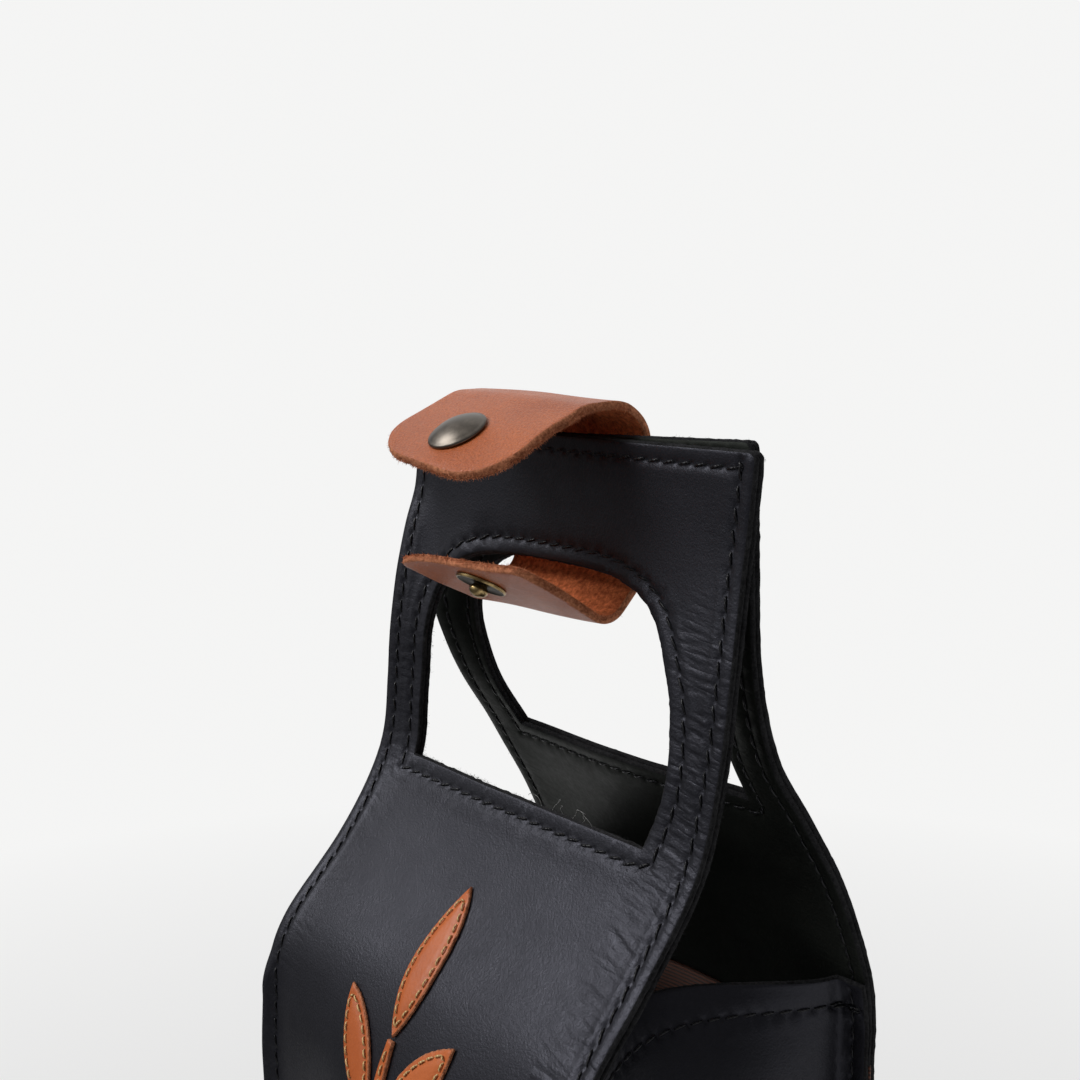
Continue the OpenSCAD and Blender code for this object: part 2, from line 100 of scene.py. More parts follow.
def reach(side, h):
    """Distance of a panel's outer face from the plane where the handles meet."""
    spread = curve_at(zip(SPREAD_AT, SPREAD[side]), np.asarray(h) / SPREAD_H)
    return HALF_HANDLES + (REACH[side] - HALF_HANDLES) * spread


# How far the strips and borders of the soft panels stand out from their plain curve, by height below the
# top edge: beside the hole and at the border, on the left (-1) and on the right (1)
SAG = {
    (FRONT, -1): (
        [(0, 0.5), (14, 0.8), (24, 1.1), (34, 1.3), (47, 1.6), (54, 1.0), (64, 0.1), (74, -0.8), (84, 0.2),
         (96, 1.0), (110, 1.0), (120, -0.8), (132, -2.6), (142, -3.0), (220, -3), (330, 0)],
        [(0, 0.5), (14, 1.2), (23, 3.5), (32, 4.3), (41, 4.1), (50, 3.7), (60, 2.5), (69, 1.5), (78, 1.0),
         (88, 0.7), (98, 1.2), (110, 1.6), (117, 0.4), (126, -3.0), (136, -3.9), (220, -4), (330, 0)]),
    (FRONT, 1): (
        [(0, 0), (100, 0), (112, -0.4), (126, -2.2), (140, -3), (220, -3), (330, 0)],
        [(0, 0), (100, 0), (112, -0.5), (126, -3), (140, -4), (220, -4), (330, 0)]),
    (BACK, -1): (
        [(0, 0), (40, 0), (50, 0.35), (60, 0.5), (71, 1.6), (82, 1.5), (100, 0.5), (112, 0), (126, -2.5),
         (140, -3), (220, -3), (330, 0)],
        [(0, 0), (30, -2.5), (42, -4.0), (50, -2.8), (60, -1.2), (70, 0.3), (85, 0.7), (100, 0.3),
         (112, -0.5), (126, -4), (140, -5), (220, -5), (330, 0)]),
    (BACK, 1): (
        [(0, 0.5), (30, 0.9), (60, 1.8), (72, 2.6), (83, 2.4), (95, 1), (105, 0), (126, -2), (140, -3),
         (220, -3), (330, 0)],
        [(0, 1), (60, 1), (72, 2.5), (83, 2.6), (93, 1.4), (103, 0), (113, -1), (122, -3), (130, -5),
         (140, -5.4), (220, -5.4), (330, 0)]),
}
# How much wider the front's right border is, and how far each panel's top drops at its right end
WIDER = [(0, 3.4), (8, 2.6), (15, 1.8), (23, 1.2), (32, 1.5), (41, 2.0), (53, 2.3), (61, 2.2), (70, 1.8),
         (77, 1.5), (85, 0.8), (93, 0.2), (103, 0)]
DROP = {FRONT: 2.7, BACK: 0.9}


def stand_out(side, x, h):
    """How far a panel stands out from its plain curve."""
    out = 0.35 * np.sin(h / 21 + x / 17) * smooth((h - 100) / 40) * smooth((BAG_H - h) / 40)
    for end in (-1, 1):
        beside, border = SAG[side, end]
        a = x * end
        w, u = smooth((a - 4) / 34), smooth((a - 38) / 12)
        w = w * (1 - (1 - smooth((a - 17) / 14)) * smooth((30 - h) / 6))
        out = out + w * ((1 - u) * curve_at(beside, h) + u * curve_at(border, h))
    if side == BACK:
        return out - 0.041 * x * smooth((110 - h) / 50)
    # the wrap presses the bar's lower edge in
    out = out - 0.6 * smooth((h - 18) / 6) * smooth((36 - h) / 8) * smooth((27 - np.abs(x + 3)) / 6)
    return out + 2.2 * smooth((-x - 46) / 3.8) * smooth((h - 114) / 10) * smooth((BAG_H - h) / 60)


def slope(side, x, h, e=0.5):
    """How fast a panel moves outwards, going down."""
    return (reach(side, h + e) + stand_out(side, x, h + e)
            - reach(side, h - e) - stand_out(side, x, h - e)) / (2 * e)


def panel_at(side, x, h, depth):
    """Points of a panel at x and a height h below its top edge, some depth inside its outer face."""
    x, h, depth = floats(x, h, depth)
    e = 0.5
    k = slope(side, x, h)
    m = (stand_out(side, x + e, h) - stand_out(side, x - e, h)) / (2 * e)
    n = np.sqrt(1 + k * k + m * m)
    y = reach(side, h) + stand_out(side, x, h) - depth / n
    z = BAG_H - h - depth * k / n
    z = z - DROP[side] * x / HALF_W * np.clip(1 - h / 100, 0, 1)
    across = x + depth * m / n
    if side == FRONT:
        across = across + curve_at(WIDER, h) * smooth((x - 20) / 30)
    return np.stack([across, LEAN + side * y, z], -1)


def arc(cx, cz, r, a0, a1, n):
    a = np.radians(np.linspace(a0, a1, n))
    return [(cx + r * math.cos(t), cz + r * math.sin(t)) for t in a]


def block(half_width, top, foot):
    """A rectangle in x and h."""
    return [(-half_width, top), (half_width, top), (half_width, foot), (-half_width, foot)]


def dense(points, step, closed=True):
    """The same outline with no two points much further apart than a step; corners stay."""
    out = []
    starts = np.asarray(points, float)
    for a, b in zip(starts, np.roll(starts, -1, 0) if closed else starts[1:]):
        k = max(1, int(round(np.linalg.norm(b - a) / step)))
        out += [a + (b - a) * j / k for j in range(k)]
    return np.array(out if closed else out + [starts[-1]])


def lengths(line):
    """Length along a line up to each of its points."""
    return np.concatenate([[0], np.cumsum(np.linalg.norm(np.diff(line, axis=0), axis=1))])


def evenly(line, s, count):
    """Points of a flat line, evenly spaced by the lengths s of its points."""
    t = np.linspace(0, s[-1], count)
    return np.stack([np.interp(t, s, line[:, 0]), np.interp(t, s, line[:, 1])], 1)


def area(loop):
    """Twice a loop's area, above zero where it runs counter-clockwise."""
    x, y = loop[:, 0], loop[:, 1]
    return (x * np.roll(y, -1) - np.roll(x, -1) * y).sum()


def panel_outline(foot, inset=0.0):
    """A panel's outline in x and h, from its left foot over the round top corners to its right foot."""
    w, c, r = HALF_W - inset, HALF_W - TOP_R, TOP_R - inset
    corner = arc(c, TOP_R, r, -90, 0, 7)
    return [(-w, foot - inset)] + [(-x, h) for x, h in corner[::-1]] + corner + [(w, foot - inset)]


def offset(loop, e, fixed=None):
    """A closed loop moved to its left by e; points that fixed() names slide along their own edge only."""
    a = np.asarray(loop, float)
    d0, d1 = unit(a - np.roll(a, 1, 0)), unit(np.roll(a, -1, 0) - a)
    n0, n1 = np.stack([-d0[:, 1], d0[:, 0]], 1), np.stack([-d1[:, 1], d1[:, 0]], 1)
    m = n0 + n1
    m /= np.maximum((1 + (n0 * n1).sum(1)), 0.3)[:, None]
    out = a + m * e
    if fixed is not None:
        stay = fixed(a)
        out[stay, 1] = a[stay, 1]
    return out


def spline(points, step=5):
    """A smooth line that passes through the points."""
    p = np.array(points, float)
    p = np.concatenate([[2 * p[0] - p[1]], p, [2 * p[-1] - p[-2]]])
    out = [0.5 * (2 * b + (c - a) * t + (2 * a - 5 * b + 4 * c - d) * t * t
                  + (3 * b - a - 3 * c + d) * t ** 3)
           for a, b, c, d in zip(p, p[1:], p[2:], p[3:]) for t in np.linspace(0, 1, step, endpoint=False)]
    return np.array(out + [p[-2]])


# Half widths and heights along a hand hole's left (-1) and right (1) side
HOLE_SIDES = {
    (FRONT, -1): [(0, 26.3), (12, 26.4), (22, 27.1), (29, 29.0), (33.8, 32.4), (37, 37.4), (38.3, 43),
                  (38.6, 50), (38.5, 58), (38.3, 66), (37.9, 74)],
    (FRONT, 1): [(0, 26.3), (12, 26.5), (20, 27.4), (26.5, 29.6), (30.4, 33), (32.6, 36.6), (34.1, 40.2),
                 (36.5, 47), (37.6, 54), (38.2, 61), (37.7, 67), (36.3, 74)],
    (BACK, 1): [(0, 26.3), (12, 26.6), (22, 27.8), (29, 30.4), (34, 34.4), (37.2, 39.6), (38.3, 45),
                (38.2, 52), (37.6, 61), (36.8, 70.5)],
}
HOLE_SIDES[BACK, -1] = HOLE_SIDES[BACK, 1]


def hole_outline(side):
    """The hand hole's outline in x and h: an arched top over gently bowed sides and a flat foot."""
    left, right = (spline(HOLE_SIDES[side, end]) * [end, 1] for end in (-1, 1))
    return np.concatenate([left[::-1], right[1:]])


# ---- meshes ----

def linked(name, data):
    o = bpy.data.objects.new(name, data)
    bpy.context.scene.collection.objects.link(o)
    return o


def make(name, verts, faces, mats, face_mats=None, angle=58, uv=None):
    """A smooth mesh object from points in millimetres."""
    me = bpy.data.meshes.new(name)
    points = np.asarray(verts, float) * MM
    me.from_pydata([tuple(p) for p in points], [], [tuple(int(i) for i in f) for f in faces])
    for m in mats:
        me.materials.append(m)
    if face_mats is not None:
        me.polygons.foreach_set("material_index", np.asarray(face_mats, np.int32))
    me.polygons.foreach_set("use_smooth", [True] * len(me.polygons))
    me.set_sharp_from_angle(angle=math.radians(angle))
    if uv is not None:
        layer = me.uv_layers.new(name="UVMap")
        loops = np.zeros(len(me.loops), np.int32)
        me.loops.foreach_get("vertex_index", loops)
        flat = np.asarray(uv, float)[loops] * MM * 10
        layer.data.foreach_set("uv", flat.astype(np.float32).ravel())
    me.validate()
    me.update()
    return linked(name, me)


def inside(points, loops):
    """Which points lie inside the first loop and outside the others."""
    x, y = points.T
    ok = np.ones(len(points), bool)
    for k, loop in enumerate(loops):
        hit = np.zeros(len(points), bool)
        for (x0, y0), (x1, y1) in zip(loop, np.roll(loop, -1, 0)):
            if y0 != y1:
                hit ^= ((y0 > y) != (y1 > y)) & (x < (x1 - x0) * (y - y0) / (y1 - y0) + x0)
        ok &= ~hit if k else hit
    return ok


def near(points, line, closed=True):
    """Distance of each point from a polyline."""
    a = np.asarray(line, float)
    b = np.roll(a, -1, 0)
    if not closed:
        a, b = a[:-1], b[:-1]
    best = np.full(len(points), 1e9)
    for p, q in zip(a, b):
        d = q - p
        t = np.clip(((points - p) @ d) / max(d @ d, 1e-12), 0, 1)
        best = np.minimum(best, np.linalg.norm(points - p - t[:, None] * d, axis=1))
    return best


def staggered(x0, x1, y0, y1, step):
    """Points in rows, every second row shifted by half a step."""
    gx, gy = np.meshgrid(np.arange(x0, x1, step), np.arange(y0, y1, step * 0.87))
    gx[1::2] += step / 2
    return np.stack([gx.ravel(), gy.ravel()], 1)


def clear_of(grid, extra, spacing):
    """The points of a grid that keep half a spacing away from the extra points."""
    return np.array([p for p in grid if ((extra - p) ** 2).sum(1).min() > (0.5 * spacing) ** 2])


def sheet(name, outline, holes, place, outer, inner, mats, spacing, extra=(), e=0.35, rough=0.06,
          fixed=None, dent=None, dent_in=None):
    """A closed sheet of leather or cloth over a flat outline, set in space by place(x, h, depth).
    Its two faces meet over a rounded, slightly rough cut edge. mats: outer face, inner face, cut edge."""
    loops = [np.asarray(o, float) for o in (outline, *holes)]
    loops = [l if (area(l) > 0) == (i == 0) else l[::-1] for i, l in enumerate(loops)]
    inner_loops = [offset(l, e, fixed) for l in loops]
    edges, k = [], 0
    for l in inner_loops:
        edges += [(k + i, k + (i + 1) % len(l)) for i in range(len(l))]
        k += len(l)
    lo, hi = loops[0].min(0) + spacing / 2, loops[0].max(0)
    grid = staggered(lo[0], hi[0], lo[1], hi[1], spacing)
    if len(extra):
        extra = np.asarray(extra, float)
        grid = np.concatenate([clear_of(grid, extra, spacing), extra])
    grid = grid[inside(grid, inner_loops)]
    clear = np.min([near(grid, l) for l in inner_loops], axis=0)
    flat = np.concatenate([*inner_loops, grid[clear > 0.3 * min(spacing, 1.2)]])
    out, _, tris, origin, _, _ = delaunay_2d_cdt([Vector(p) for p in flat], edges, [], 0, 1e-6)
    lookup = {old: new for new, olds in enumerate(origin) for old in olds}
    flat = np.array([tuple(p) for p in out])
    tris = np.array([t for t in tris if len(t) == 3])
    tris = tris[inside(flat[tris].mean(1), inner_loops)]
    n = len(flat)
    x, h = flat[:, 0], flat[:, 1]
    d, di = (f(flat) if f is not None else 0.0 for f in (dent, dent_in))
    verts = [place(x, h, outer + d), place(x, h, inner - di)]
    a, b, c = verts[0][tris[0]]
    p = flat[tris[0, :1]]
    probe = place(p[:, 0], p[:, 1], outer) - place(p[:, 0], p[:, 1], inner)
    flip = (probe @ np.cross(b - a, c - a))[0] < 0
    if flip:
        tris = tris[:, ::-1]
    faces = [tuple(t) for t in tris] + [tuple(t[::-1] + n) for t in tris]
    fm = [0] * len(tris) + [1] * len(tris)
    k, base = 0, 2 * n
    for l in loops:
        m = len(l)
        idx = np.array([lookup[k + i] for i in range(m)])
        k += m
        jitter = rng.normal(0, rough, (3, m, 2)) if rough else np.zeros((3, m, 2))
        if fixed is not None:
            jitter[:, fixed(l)] = 0
        rings = [idx]
        for shift, share in zip(jitter, (0.24, 0.5, 0.76)):
            p = l + shift
            verts.append(place(p[:, 0], p[:, 1], outer + (inner - outer) * share))
            rings.append(np.arange(base, base + m))
            base += m
        rings.append(idx + n)
        for r0, r1 in zip(rings[:-1], rings[1:]):
            quads = list(zip(r0, r1, np.roll(r1, -1), np.roll(r0, -1)))
            faces += [q[::-1] for q in quads] if flip else quads
            fm += [2] * m
    uv = np.concatenate([flat, flat] + [np.tile(l, (3, 1)) for l in loops])
    return make(name, np.concatenate(verts), faces, mats, fm, uv=uv)


def spaced(path, place, pitch=PITCH, closed=False):
    """Points along a flat path, a pitch apart in space."""
    p = dense(path, 0.5, closed)
    if closed:
        p = np.concatenate([p, p[:1]])
    s = lengths(place(p[:, 0], p[:, 1], 0.0))
    return evenly(p, s, max(1, int(round(s[-1] / pitch))) + 1)


def tube(rounds, sides, start=0):
    """Faces of a closed tube whose points come in rounds."""
    last = start + (rounds - 1) * sides
    around = [(q, (q + 1) % sides) for q in range(sides)]
    faces = [(a + q, a + r, a + sides + r, a + sides + q)
             for a in range(start, last, sides) for q, r in around]
    return faces + [tuple(range(start, start + sides))[::-1], tuple(range(last, last + sides))]


# Along one stitch: place, height (below 0 it dives into its hole) and thickness
STRAND = np.array([(0.0, -0.55, 0.55), (0.08, -0.12, 0.85), (0.22, 0.7, 1.0), (0.4, 1.0, 1.06),
                   (0.6, 1.0, 1.06), (0.78, 0.7, 1.0), (0.92, -0.12, 0.85), (1.0, -0.55, 0.55)])


def stitches(name, runs, place, depth, mat, radius=0.25, rise=0.12, slant=0.22, sign=1):
    """Thread between the holes of each run: short bowed strands that dive into the leather at both ends."""
    verts, faces = [], []
    f, up, size = STRAND.T
    gap, sides = 0.12, 7
    around = 2 * math.pi * np.arange(sides) / sides
    twist = around + 1.5 * np.arange(len(f))[:, None]
    thick = (radius * size[:, None] * (1 + 0.07 * np.cos(2 * twist)))[..., None]
    for run in runs:
        a, b = run[:-1], run[1:]
        d = b - a
        side = np.stack([-d[:, 1], d[:, 0]], 1) / np.linalg.norm(d, axis=1)[:, None]
        k = slant * (1 + rng.normal(0, 0.25, len(a)))
        a, b = a + side * k[:, None], b - side * k[:, None]
        for p0, p1 in zip(a, b):
            x, h = (p0 + (p1 - p0) * (gap + (1 - 2 * gap) * f[:, None])).T
            lift = np.where(up > 0, up * rise * (1 + rng.normal(0, 0.15)), up * 0.6)
            c = place(x, h, depth - sign * lift)
            tan = unit(np.gradient(c, axis=0))
            nrm = place(x, h, depth - sign * 1.0) - place(x, h, depth)
            nrm = unit(nrm - (nrm * tan).sum(1)[:, None] * tan)
            bi = np.cross(tan, nrm)
            ring = 0.8 * np.sin(around)[:, None] * nrm[:, None] + np.cos(around)[:, None] * bi[:, None]
            faces += [q[:1] + q[:0:-1] for q in tube(len(f), sides, len(verts))]
            verts += list((c[:, None] + thick * ring).reshape(-1, 3))
    return make(name, verts, faces, [mat], angle=80)


def seam_dent(runs, deep=0.28, groove=0.26, bulge=0.15):
    """How far stitching draws a face in: a groove along each run, a pit at each hole, a soft swelling
    beside it."""
    holes = np.concatenate(runs)

    def dent(flat):
        out = np.zeros(len(flat))
        for run in runs:
            lo, hi = run.min(0) - 4, run.max(0) + 4
            sel = np.where(((flat > lo) & (flat < hi)).all(1))[0]
            if len(sel):
                d = near(flat[sel], run, closed=False)
                out[sel] += groove * np.exp(-(d / 0.6) ** 2) - bulge * np.exp(-((d - 1.6) / 0.7) ** 2)
        for s in range(0, len(flat), 4000):
            d2 = ((flat[s:s + 4000, None] - holes[None]) ** 2).sum(2).min(1)
            out[s:s + 4000] += deep * np.exp(-d2 / 0.3)
        return out
    return dent


def fuzz(name, place, path, count, depth, mat, length, thick, keep=None, out_share=0.5, back=0.75):
    """Short loose fibres along a raw cut edge: most at the depth of the flesh side, some across the edge."""
    path = np.asarray(path, float)
    d = unit(np.roll(path, -1, 0) - np.roll(path, 1, 0))
    outward = np.stack([d[:, 1], -d[:, 0]], 1) * (1 if area(path) > 0 else -1)
    may = np.arange(len(path)) if keep is None else np.flatnonzero(keep(path))
    clumps = rng.choice(may, max(8, count // 12))
    i = clumps[rng.integers(0, len(clumps), count)] + rng.integers(-2, 3, count)
    i = np.clip(i, 0, len(path) - 1)
    i = i[np.isin(i, may)]
    n = len(i)
    flat, o = path[i] + d[i] * rng.uniform(-0.3, 0.3, (n, 1)), outward[i]
    at = depth * (1 - np.abs(rng.normal(0, 0.22, n)).clip(0, 0.9))
    x, h = flat.T
    root = place(x - 0.08 * o[:, 0], h - 0.08 * o[:, 1], at)
    side = unit(place(x + o[:, 0], h + o[:, 1], at) - root)
    under = unit(place(x, h, at + 0.5) - place(x, h, at))
    way = side * rng.uniform(0.1, 1, (n, 1)) * out_share * 2
    way = unit(way + under * rng.uniform(-0.2, 1, (n, 1)) * back + rng.normal(0, 0.5, (n, 3)))
    turn = rng.normal(0, 0.7, (n, 3))
    size = rng.uniform(*length, (n, 1)) * rng.choice([1.0, 1.0, 1.0, 1.0, 1.9], (n, 1))
    across = unit(np.cross(way, turn))
    third = np.cross(way, across)
    verts = []
    for t in (0.0, 0.4, 0.75, 1.0):
        c = root + way * size * t + turn * size * 0.45 * t * t
        r = thick * (1 - 0.7 * t) * rng.uniform(0.8, 1.2)
        verts += [c + r * (across * math.cos(q) + third * math.sin(q)) for q in (0, 2.1, 4.2)]
    faces = [f for k in range(n) for f in tube(4, 3, 12 * k)]
    return make(name, np.stack(verts, 1).reshape(-1, 3), faces, [mat], angle=80)


def wires(name, lines, r, sides, mat):
    """Round wires along lines in space, as one piece."""
    verts, faces = [], []
    a = np.linspace(0, 2 * math.pi, sides, endpoint=False)[:, None]
    for line in lines:
        c = np.asarray(line)[:, None]
        tan = unit(np.gradient(c, axis=0))
        b1 = unit(np.cross(tan, np.array([0.31, 0.87, 0.38])))
        faces += tube(len(c), sides, len(verts))
        verts += list((c + r * (b1 * np.cos(a) + np.cross(tan, b1) * np.sin(a))).reshape(-1, 3))
    return make(name, verts, faces, [mat], angle=80)


def above(runs, foot):
    """The parts of the runs that lie above a foot, as runs of their own."""
    out = []
    for run in runs:
        keep = run[:, 1] < foot
        cuts = np.flatnonzero(np.diff(keep.astype(int))) + 1
        out += [part for part, k in zip(np.split(run, cuts), np.split(keep, cuts))
                if k[0] and len(part) > 1]
    return out


def round_points(p, r, step):
    return [(p[0] + r * math.cos(t), p[1] + r * math.sin(t)) for t in np.radians(range(0, 360, step))]


def pit_points(runs):
    """Extra mesh points round each stitch hole."""
    out = []
    for run in runs:
        for p in run:
            out += [p] + round_points(p, 0.5, 60) + round_points(p, 1.15, 45)
        out += [*(run[1:] + run[:-1]) / 2]
    return out


# ---- materials ----

class Nodes:
    """The node tree of a material or a world. Its textures lie in the object's own space."""

    def __init__(self, owner, shader):
        owner.use_nodes = True
        self.tree = owner.node_tree
        self.shader = self.tree.nodes[shader]
        self.coords = self.add("TexCoord").outputs

    def add(self, kind, **values):
        """A new node; a value goes to the input of that name, or else to the node's own setting."""
        n = self.tree.nodes.new("ShaderNode" + kind)
        for k, v in values.items():
            if k in n.inputs:
                n.inputs[k].default_value = v
            else:
                setattr(n, k, v)
        return n

    def feed(self, socket, value):
        if isinstance(value, bpy.types.NodeSocket):
            self.tree.links.new(value, socket)
        else:
            socket.default_value = (*value, 1) if isinstance(value, tuple) else value

    def shade(self, **values):
        """Sets or links the shader's own sockets; an underscore stands for a space."""
        for k, v in values.items():
            self.feed(self.shader.inputs[k.replace("_", " ")], v)

    def texture(self, kind, out="Fac", at=None, **values):
        n = self.add("Tex" + kind, **values)
        self.feed(n.inputs["Vector"], at or self.coords["Object"])
        return n.outputs[out]

    def noise(self, scale, detail=3, rough=0.6, at=None):
        return self.texture("Noise", at=at, Scale=scale, Detail=detail, Roughness=rough)

    def ramp(self, value, *stops):
        n = self.add("ValToRGB")
        while len(n.color_ramp.elements) < len(stops):
            n.color_ramp.elements.new(0.5)
        for el, (at, colour) in zip(n.color_ramp.elements, stops):
            el.position = at
            el.color = (*colour, 1)
        self.feed(n.inputs["Fac"], value)
        return n.outputs["Color"]

    def mapped(self, value, a, b, c=0, d=1):
        """A value from the range a to b, moved to the range c to d."""
        n = self.add("MapRange")
        for k, v in zip(("Value", "From Min", "From Max", "To Min", "To Max"), (value, a, b, c, d)):
            self.feed(n.inputs[k], v)
        return n.outputs["Result"]

    def maths(self, op, a, *more):
        n = self.add("Math", operation=op)
        for socket, v in zip(n.inputs, (a, more[0] if more else 0)):
            self.feed(socket, v)
        return self.maths(op, n.outputs[0], *more[1:]) if len(more) > 1 else n.outputs[0]

    def weighted(self, a, b, share):
        return self.maths("ADD", self.maths("MULTIPLY", a, 1 - share), self.maths("MULTIPLY", b, share))

    def blend(self, factor, a, b):
        n = self.add("Mix", data_type="RGBA")
        for i, v in ((0, factor), (6, a), (7, b)):
            self.feed(n.inputs[i], v)
        return n.outputs[2]

    def bumps(self, *layers):
        """Bump from several heights, coarse first: (height, strength, distance in millimetres)."""
        last = None
        for height, strength, dist in layers:
            n = self.add("Bump", Strength=strength, Distance=dist * MM)
            self.feed(n.inputs["Height"], height)
            if last:
                self.feed(n.inputs["Normal"], last)
            last = n.outputs["Normal"]
        self.shade(Normal=last)


def surface(name):
    m = bpy.data.materials.new(name)
    return m, Nodes(m, "Principled BSDF")


def crease_height(n):
    """Fine slanting creases on the strips beside a hand hole, from the flat pattern of the panel."""
    flat = n.add("SeparateXYZ")
    n.feed(flat.inputs[0], n.add("UVMap", uv_map="UVMap").outputs["UV"])
    x, h = flat.outputs["X"], flat.outputs["Y"]
    slant = n.maths("SUBTRACT", h, n.maths("MULTIPLY", x, 0.14))
    joint = n.add("CombineXYZ")
    n.feed(joint.inputs[0], n.maths("MULTIPLY", x, 8.0))
    n.feed(joint.inputs[1], n.maths("MULTIPLY", slant, 36.0))
    lines = n.maths("ABSOLUTE", n.maths("SUBTRACT", n.noise(1.0, 2, 0.5, joint.outputs[0]), 0.5))
    return n.maths(
        "MULTIPLY", n.mapped(lines, 0.0, 0.16),
        n.mapped(n.maths("ABSOLUTE", x), 0.345, 0.4, 0.05, 1),  # off the panel's middle
        n.mapped(x, -0.3, 0.3, 0.35, 1),  # weaker on the left
        n.mapped(h, 0.24, 0.36, 0.12, 1),  # below the bar
        n.mapped(h, 1.1, 1.35, 1, 0.05))  # above the body


def leather(name, dark, light, rough, grain, pebble, gloss, tint=(1, 1, 1), creased=0.0, depth=0.05,
            dots=0.25):
    """Smooth grain leather: cloudy colour, pebbled and creased surface, uneven gloss."""
    m, n = surface(name)
    fine, grains = n.noise(900), n.noise(2300)
    colour = n.ramp(n.weighted(n.noise(38, 5), grains, dots), (0.36, dark), (0.64, light))
    matt = n.mapped(n.weighted(n.noise(120, 4), fine, 0.5), 0.3, 0.7, rough - 0.07, rough + 0.09)
    n.shade(Base_Color=colour, Roughness=matt, Specular_IOR_Level=gloss, Specular_Tint=tint)
    cells = n.texture("Voronoi", "Distance", Scale=1500, feature="SMOOTH_F1")
    n.bumps((n.noise(60, 4), 0.25, 0.35), *([(crease_height(n), creased, 0.3)] if creased else []),
            (cells, pebble, 0.09), (grains, grain, depth))
    return m


def suede(name, dark, light, strength, scale=1.0, sheen=0.35):
    """Flesh side or cut edge of leather: matt, mottled, with a short nap."""
    m, n = surface(name)
    patch, nap = n.noise(160 * scale, 4, 0.65), n.noise(1500 * scale, 4, 0.75)
    middle = tuple((a + b) / 2 for a, b in zip(dark, light))
    n.shade(Base_Color=n.ramp(n.weighted(patch, nap, 0.65), (0.38, dark), (0.52, middle), (0.64, light)),
            Roughness=0.95, Specular_IOR_Level=0.15,
            Sheen_Weight=sheen, Sheen_Roughness=0.6, Sheen_Tint=light)
    n.bumps((patch, 0.3, 0.4), (nap, strength, 0.22), (n.noise(4200 * scale, 2, 0.7), 0.6, 0.1))
    return m


def metal(name, dark, light, rough, spots):
    """Plated metal with a cloudy patina and rubbed high spots."""
    m, n = surface(name)
    cloud, speck = n.noise(420, 5, 0.65), n.noise(3200, 3, 0.7)
    n.shade(Base_Color=n.ramp(n.weighted(cloud, speck, spots), (0.38, dark), (0.66, light)),
            Roughness=n.mapped(cloud, 0.35, 0.65, rough - 0.03, rough + 0.05), Metallic=1.0)
    n.bumps((speck, 0.05, 0.02))
    return m


def thread(name, dark, light, rough=0.5, gloss=0.5):
    """Twisted waxed thread."""
    m, n = surface(name)
    twist = n.texture("Wave", Scale=520, Distortion=1.2, Detail=2, bands_direction="DIAGONAL")
    n.shade(Base_Color=n.ramp(twist, (0.2, dark), (0.8, light)), Roughness=rough, Specular_IOR_Level=gloss)
    n.bumps((twist, 0.6, 0.12))
    return m


def cloth(name, dark, light):
    """Fine ribbed lining cloth."""
    m, n = surface(name)
    rib = n.texture("Wave", Scale=330, Distortion=0.4, Detail=2, bands_direction="Z")
    yarn = n.noise(2400)
    n.shade(Base_Color=n.ramp(n.weighted(rib, yarn, 0.4), (0.25, dark), (0.75, light)),
            Roughness=0.9, Sheen_Weight=0.2)
    n.bumps((rib, 0.7, 0.12), (yarn, 0.5, 0.08))
    return m


def board(name, dark, light):
    """Pressed fibreboard."""
    m, n = surface(name)
    fibre = n.noise(700, 5, 0.7)
    n.shade(Base_Color=n.ramp(fibre, (0.35, dark), (0.7, light)), Roughness=0.9)
    n.bumps((fibre, 0.5, 0.1))
    return m


BLACK_TONES = (0.0055, 0.0055, 0.0072), (0.0115, 0.0115, 0.0145)
COOL = (0.82, 0.83, 1.0)
BLACK = leather("black_grain", *BLACK_TONES, 0.44, 0.6, 0.28, 0.32, COOL, depth=0.14)
BLACK_STRIP = leather("black_grain_creased", *BLACK_TONES, 0.42, 0.6, 0.28, 0.34, COOL, 0.34, 0.14)
# The facing's inner grain is a darker, duller copy of the black grain with a green tint: painted shade for
# the inside of the bag, seen through the hand holes.
FACING = leather("facing_grain_painted_shade", (0.0045, 0.005, 0.0045), (0.010, 0.011, 0.0098), 0.5, 0.4, 0.24, 0.14,
                 (0.9, 1.0, 0.88), 0.25)
BLACK_BACK = suede("black_flesh", (0.003, 0.003, 0.0032), (0.011, 0.011, 0.011), 0.6, sheen=0.1)
BLACK_EDGE = suede("black_edge", (0.003, 0.003, 0.0035), (0.026, 0.026, 0.028), 0.8, sheen=0.3)
BLACK_NAP = suede("black_nap", (0.006, 0.006, 0.007), (0.06, 0.06, 0.064), 0.4, sheen=0.2)
TAN = leather("tan_grain", (0.34, 0.066, 0.011), (0.6, 0.148, 0.031), 0.38, 1.0, 0.6, 0.5,
              depth=0.27, dots=0.62)
TAN_BACK = suede("tan_flesh", (0.23, 0.048, 0.016), (0.95, 0.28, 0.105), 1.0, 0.62)
TAN_EDGE = suede("tan_edge", (0.19, 0.06, 0.027), (0.72, 0.29, 0.15), 0.95)
TAN_NAP = suede("tan_nap", (0.34, 0.11, 0.05), (0.8, 0.34, 0.18), 0.4)
MOTIF = leather("motif_grain", (0.40, 0.088, 0.019), (0.55, 0.135, 0.032), 0.45, 0.5, 0.42, 0.35)
LINING = cloth("lining_rib", (0.03, 0.010, 0.006), (0.12, 0.037, 0.018))
BLACK_THREAD = thread("black_thread", (0.004, 0.004, 0.005), (0.012, 0.012, 0.015), 0.34, 0.24)
TAN_THREAD = thread("tan_thread", (0.42, 0.24, 0.085), (0.74, 0.5, 0.22))
LOOSE = thread("loose_thread", (0.10, 0.10, 0.10), (0.28, 0.28, 0.27))
